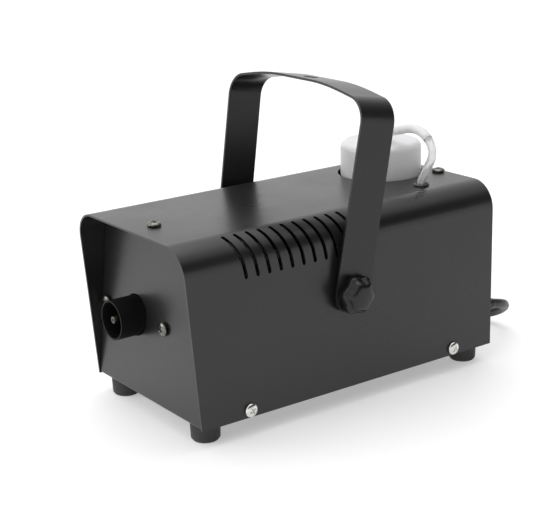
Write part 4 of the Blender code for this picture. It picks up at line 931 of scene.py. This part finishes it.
def make_knobs():
    """Lobed clamping knobs on threaded studs, with the rubber spacers behind the straps."""
    radius, depth, lobes, hollow = 12.5 * MM, 11 * MM, 6, 0.07

    def lobed(angle, ring, height):
        return 1 - hollow * min(1, (ring / (0.8 * radius)) ** 3) * (1 - math.cos(lobes * angle))

    for word, side in (("right", 1), ("left", -1)):
        at = facing((side, 0, 0), Vector((side * (STRAP_OUT + GAP), *PIVOT)), 0.35)
        profile = [(share * radius, height * depth) for share, height in KNOB_PROFILE]
        knob = made_piece(f"clamp_knob_{word}", lathe_mesh(profile, 144, lobed), "knob_plastic",
                          body=f"knob_{word}", slot="black_plastic", at=at)
        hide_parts(f"knob_{word}")
        thread = [(0, 0.5 * MM), (2.5 * MM, 0.5 * MM)]
        for turn in range(18):
            thread += [(2.5 * MM, (-0.1 - 0.84 * turn) * MM), (2.2 * MM, (-0.5 - 0.84 * turn) * MM)]
        thread += [(2.0 * MM, -15.4 * MM), (0, -15.5 * MM)]
        made_piece(f"clamp_stud_{word}", lathe_mesh(thread, 32), "screw_steel",
                   body=f"knob_{word}", at=at)
        ring = rounded([(2.8 * MM, 2.9 * MM), (8 * MM, 2.9 * MM), (8 * MM, 0), (2.8 * MM, 0)], 0.5 * MM)
        spacer = made_piece(f"strap_spacer_{word}", lathe_mesh(ring, 48), "rubber",
                            at=facing((side, 0, 0), Vector((side * (HALF + GAP), *PIVOT))))
        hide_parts(f"handle_spacer_{word}")


make_handle()
make_knobs()


# Bottle, cap and tube
def make_bottle():
    low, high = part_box("bottle")
    bottom = low.z
    cap_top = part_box("bottle_cap")[1].z
    radius, neck, wall = 26.9 * MM, 22.5 * MM, 1.3 * MM
    tall = high.z - bottom
    shoulder = cap_top - 28.6 * MM - bottom
    side = shoulder - 6 * MM
    profile = [(0, wall), (radius - 4 * MM, wall), (radius - wall, 4 * MM),
               (radius - wall, side - wall / 2), (neck - wall, shoulder - wall / 2), (neck - wall, tall),
               (neck, tall), (neck, shoulder), (radius, side), (radius, 3 * MM), (radius - 3 * MM, 0),
               (0, 0)]
    at = Matrix.Translation((BOTTLE.x, BOTTLE.y, bottom))
    jar = made_piece("fluid_bottle", lathe_mesh(rounded(profile, 1.8 * MM, closed=False), 72),
                     "white_plastic", body="bottle", at=at)
    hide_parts("bottle")

    outer, skin, crown, deep = 27.1 * MM, 1.5 * MM, 4.5 * MM, 25.6 * MM
    bore = 3.1 * MM
    top_edge = [(outer - crown + crown * math.sin(t), crown * math.cos(t) - crown)
                for t in [math.radians(9 * i) for i in range(11)]]
    skirt = [(outer, -deep + 4 * MM), (outer, -deep + 2.6 * MM), (outer - 0.35 * MM, -deep + 2.2 * MM),
             (outer - 0.35 * MM, -deep), (outer - skin, -deep)]
    inside = [(outer - skin, -crown), (outer - crown, -skin), (bore, -skin)]
    collar = [(bore, 0), (bore + 1.6 * MM, 0)]
    cap = made_piece("screw_cap", lathe_mesh(collar + top_edge + skirt + inside, 96), "white_plastic",
                     body="cap", at=Matrix.Translation((BOTTLE.x, BOTTLE.y, cap_top)))
    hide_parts("bottle_cap")


FEED_ARCH = [(0.02, 3), (0.12, 6.6), (0.28, 8), (0.5, 10.6), (0.7, 13), (0.89, 13.6), (1.04, 12.2),
             (1.17, 8.8), (1.24, 3.6), (1.23, -2.6), (1.15, -8.6), (1.06, -15)]


def make_tube():
    """The clear feed tube, its frosted sleeve over the arch, the join ring and the grommet."""
    cap_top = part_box("bottle_cap")[1].z
    low_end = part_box("strainer")[1].z + GAP
    span = Vector((TUBE_ENTRY.x - BOTTLE.x, TUBE_ENTRY.y - BOTTLE.y, 0))
    start = Vector((BOTTLE.x, BOTTLE.y, 0))
    knots = [start + Z * (low_end + (cap_top - low_end) * share) for share in (0, 0.33, 0.66, 1)]
    knots += [start + span * share + Z * (cap_top + rise * MM) for share, rise in FEED_ARCH]
    end = 50 * MM
    for z in (TOP + 2.5 * MM, TOP - 3 * MM, (TOP + end) / 2, end):
        knots.append(Vector((TUBE_ENTRY.x, TUBE_ENTRY.y, z)))
    route = smooth_route(knots, 1.5 * MM)
    hose = made_piece("clear_tube", sweep_mesh(route, [2.75 * MM] * len(route), 28, 1.85 * MM),
                      "silicone", body="bottle")
    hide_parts("feed_tube")
    above = [index for index, point in enumerate(route) if point.z > cap_top - 2 * MM]
    past_apex = [i for i in above if route[i].x > start.x + span.x * 1.05]
    join = next(i for i in past_apex if route[i].z < cap_top + 10 * MM)
    sleeve = route[above[0]:join]
    widths = [2.98 * MM] * len(sleeve)
    widths[-1] = 2.86 * MM
    made_piece("frosted_sleeve", sweep_mesh(sleeve, widths, 28, 2.78 * MM), "frosted_sleeve",
               body="bottle", slot="silicone")
    ring = route[join - 1:join + 1]
    made_piece("join_ring", sweep_mesh(ring, [3.05 * MM] * 2, 28, 2.78 * MM), "white_plastic",
               body="bottle")
    bore, waist, flange, out, through = 3.4, 4, 5.3, 1.2, 1.8
    profile = [(bore, out), (flange - 0.6, out), (flange, 0), (waist, 0), (waist, -through),
               (flange, -through), (flange, -through - out), (bore, -through - out)]
    grommet = made_piece("tube_seal", lathe_mesh(scaled(profile, 0.5), 48), "grey_rubber", slot="rubber",
                         at=Matrix.Translation((TUBE_ENTRY.x, TUBE_ENTRY.y, TOP + GAP)))
    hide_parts("tube_grommet")


make_bottle()
make_tube()


# Rear panel fittings
def knurled(count, depth, low, high):
    """Shallow grip ribs round the part of a turned piece between two heights in millimetres."""
    def share(angle, radius, height):
        ribbed = low * MM < height < high * MM and radius > 5 * MM
        return 1 - depth * (0.5 + 0.5 * math.cos(count * angle)) if ribbed else 1
    return share


def make_rear_fittings():
    place = middle("fuse_holder")
    at = rearward(place, SEAT)
    holder = made_piece("fuse_socket", lathe_mesh(scaled([
        (4.6, 2), (7.5, 2), (7.5, 0), (5.8, 0), (5.8, -27), (2, -27), (2, -25), (4.6, -25)], 0.4), 48),
        "black_plastic", at=at)
    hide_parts("fuse_holder")
    reach = (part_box("fuse_cap")[1].y - SEAT) / MM
    cap = lathe_mesh(scaled([(0, reach), (5.2, reach), (6.2, reach - 1), (6.2, 2.3), (4.3, 2.3),
                             (4.3, -2.7), (0, -2.7)], 0.4, False), 96, knurled(24, 0.05, 3.2, reach - 1.6))
    fuse_cap = made_piece("fuse_knob", cap, "black_plastic", body="fuse_cap", at=at)
    slot_at = Vector((place.x, SEAT + reach * MM, place.z))
    carve(fuse_cap, [helper(block_mesh((1.2 * MM, 2 * MM, 8 * MM), 0.1 * MM, 1),
                            Matrix.Translation(slot_at))])
    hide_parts("fuse_cap")
    low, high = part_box("glass_fuse")
    body = middle("glass_fuse")
    run = high.y - low.y
    made_piece("fuse_wire", lathe_mesh([(0, run - 1 * MM), (0.2 * MM, run - 1 * MM), (0.2 * MM, 1 * MM),
                                        (0, 1 * MM)], 12), "screw_steel", body="fuse",
               at=rearward(body, low.y))
    for word, start in (("inner", low.y), ("outer", high.y - 5 * MM)):
        ferrule = lathe_mesh(scaled([(0, 5), (2.6, 5), (2.6, 0), (0, 0)], 0.3, False), 32)
        made_piece(f"fuse_ferrule_{word}", ferrule, "screw_steel", body="fuse",
                   at=rearward(body, start))
    glass = lathe_mesh(scaled([(2.1, 14.9), (2.45, 14.9), (2.45, 5.1), (2.1, 5.1)], 0.05), 32)
    tube = made_piece("fuse_glass", glass, "clear_glass", body="fuse",
                      at=rearward(body, low.y))
    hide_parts("glass_fuse")

    place = middle("remote_socket")
    socket = made_piece("remote_jack", lathe_mesh(scaled([
        (0, -10), (5.4, -10), (5.4, 2.5), (9, 2.5), (9, 0), (6.6, 0), (6.6, -12), (0, -12)],
        0.4, False), 56), "black_plastic", at=rearward(place, SEAT))
    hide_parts("remote_socket")
    pin = scaled([(0, 8), (0.55, 8), (0.55, 0), (0, 0)], 0.3, False)
    for number in range(5):
        angle = math.radians(-60 + 75 * number)
        offset = Vector((2.9 * math.cos(angle), -9.9, 2.9 * math.sin(angle))) * MM
        made_piece(f"remote_pin_{number + 1}", lathe_mesh(pin, 16), "brass",
                   at=facing(Y, Vector((place.x, SEAT, place.z)) + offset))

    place = middle("ready_lamp")
    dome = [(0, 3.4)] + [(3.5 * math.sin(t), 0.9 + 2.5 * math.cos(t))
                         for t in [math.radians(9 * i) for i in range(1, 11)]]
    profile = dome + [(4, 0.8), (4, 0), (3, 0), (3, -10), (0, -10)]
    lamp = made_piece("lamp_lens", lathe_mesh([(r * MM, z * MM) for r, z in profile], 40), "lamp_red",
                      at=rearward(place, SEAT))
    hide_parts("ready_lamp")

    place = middle("cord_gland")
    profile = scaled([(3.6, 2.8), (7, 2.8), (8, 0), (5.4, 0), (5.4, -1.8), (7, -1.8), (7, -4.8),
                      (3.6, -4.8)], 0.5)
    gland = made_piece("lead_gland", lathe_mesh(profile, 72, knurled(12, 0.05, 0.2, 2.4)), "black_plastic",
                       at=rearward(place, SEAT))
    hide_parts("cord_gland")


def make_switch():
    """The housing with its cell, and the plain rocker in it."""
    low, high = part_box("switch_housing")
    place = (low + high) / 2
    rim, deep = 2.2 * MM, 22 * MM

    def at(out):
        return Matrix.Translation((place.x, SEAT + out, place.z))

    frame_block = block_mesh((high.x - low.x, rim, high.z - low.z), 0.7 * MM, 4)
    housing = made_piece("switch_frame", frame_block, "black_plastic", at=at(rim / 2))
    body = block_mesh((12.4 * MM, deep, 18.4 * MM), 0.4 * MM, 2)
    carve(housing, [helper(body, at(rim / 2 - deep / 2))], "UNION")
    cell = block_mesh((10 * MM, 15 * MM, 16 * MM), 0.3 * MM, 2)
    carve(housing, [helper(cell, at(-1.5 * MM))])
    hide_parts("switch_housing")
    outline = rounded([(-4, -6.7), (2.8, -7.2), (1.6, 0), (2.8, 7.2), (-4, 6.7)], 0.5, steps=3)
    shape = prism_mesh([(p[0] * MM, p[1] * MM) for p in outline], 9.4 * MM)
    rocker = made_piece("rocker_paddle", shape, "black_plastic", body="rocker",
                        at=at(0) @ rocker_turn() @ ALONG_CASE)
    soften(rocker, 0.3 * MM)
    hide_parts("switch_rocker")


def rocker_turn():
    """The rocker's rest tilt, as its own node stands."""
    corners = [v.co for v in frame["nodes"]["switch_rocker"].data.vertices]
    rear = max(corners, key=lambda co: co.y)
    tilt = -1 if rear.z > middle("switch_housing").z else 1
    return Matrix.Rotation(tilt * math.radians(10), 4, "X")


make_rear_fittings()
make_switch()


# Carried-over nodes
def paint_nodes():
    """Every node that is shown as it is gets the procedural finish of its own slot."""
    for part in frame["record"]["subparts"]:
        node = frame["nodes"][part["node"]]
        node.data.materials.clear()
        node.data.materials.append(MATERIALS[part["material_slot"]])
        node.data.shade_smooth()
        node.data.set_sharp_from_angle(angle=SMOOTH_UNDER)


paint_nodes()


# Studio
def make_floor():
    made = bmesh.new()
    bmesh.ops.create_grid(made, x_segments=2, y_segments=2, size=8)
    mesh = mesh_from("studio_floor", made)
    mesh.materials.append(MATERIALS["studio_floor"])
    floor = linked("studio_floor", mesh)


def area_light(name, at, towards, size, power):
    data = bpy.data.lights.new(name, "AREA")
    data.shape = "RECTANGLE"
    data.size, data.size_y = size
    data.energy = power
    linked(name, data, facing(Vector(at) - Vector(towards), Vector(at)))


def make_world():
    """A white studio with a dark patch over the right rear, so that the case's corners read.

    It fades in just over the horizon and out again between a third and a half of the way up.
    """
    world = bpy.data.worlds.new("studio")
    world.use_nodes = True
    bpy.context.scene.world = world
    nodes = world.node_tree.nodes
    link = world.node_tree.links.new
    background = nodes["Background"]
    coords = nodes.new("ShaderNodeTexCoord")
    split = nodes.new("ShaderNodeSeparateXYZ")
    link(coords.outputs["Generated"], split.inputs["Vector"])

    def fade(value, low, high):
        made = nodes.new("ShaderNodeMapRange")
        made.interpolation_type = "SMOOTHSTEP"
        made.inputs["From Min"].default_value = low
        made.inputs["From Max"].default_value = high
        link(value, made.inputs["Value"])
        return made.outputs["Result"]

    def times(first, second):
        made = nodes.new("ShaderNodeMath")
        made.operation = "MULTIPLY"
        link(first, made.inputs[0])
        link(second, made.inputs[1])
        return made.outputs["Value"]

    rightward = nodes.new("ShaderNodeVectorMath")
    rightward.operation = "DOT_PRODUCT"
    rightward.inputs[1].default_value = Vector((0.78, 0.62, 0)).normalized()
    link(coords.outputs["Generated"], rightward.inputs[0])
    dark = times(fade(split.outputs["Z"], 0.07, 0.2), fade(split.outputs["Z"], 0.78, 0.55))
    dark = times(dark, fade(rightward.outputs["Value"], 0.15, 0.5))
    keep = nodes.new("ShaderNodeMapRange")
    keep.inputs["To Min"].default_value = 1.05
    keep.inputs["To Max"].default_value = 0.04
    link(dark, keep.inputs["Value"])
    link(keep.outputs["Result"], background.inputs["Strength"])
    background.inputs["Color"].default_value = (1, 1, 1, 1)


def make_studio():
    make_floor()
    make_world()
    area_light("top_softbox", (-0.2, 0.1, 1.5), (0, 0, 0.1), (1.4, 1.1), 9)
    area_light("front_softbox", (-0.9, -1.3, 0.6), (0, 0, 0.08), (0.9, 0.7), 6)
    bpy.context.scene.view_settings.view_transform = "Standard"


make_studio()
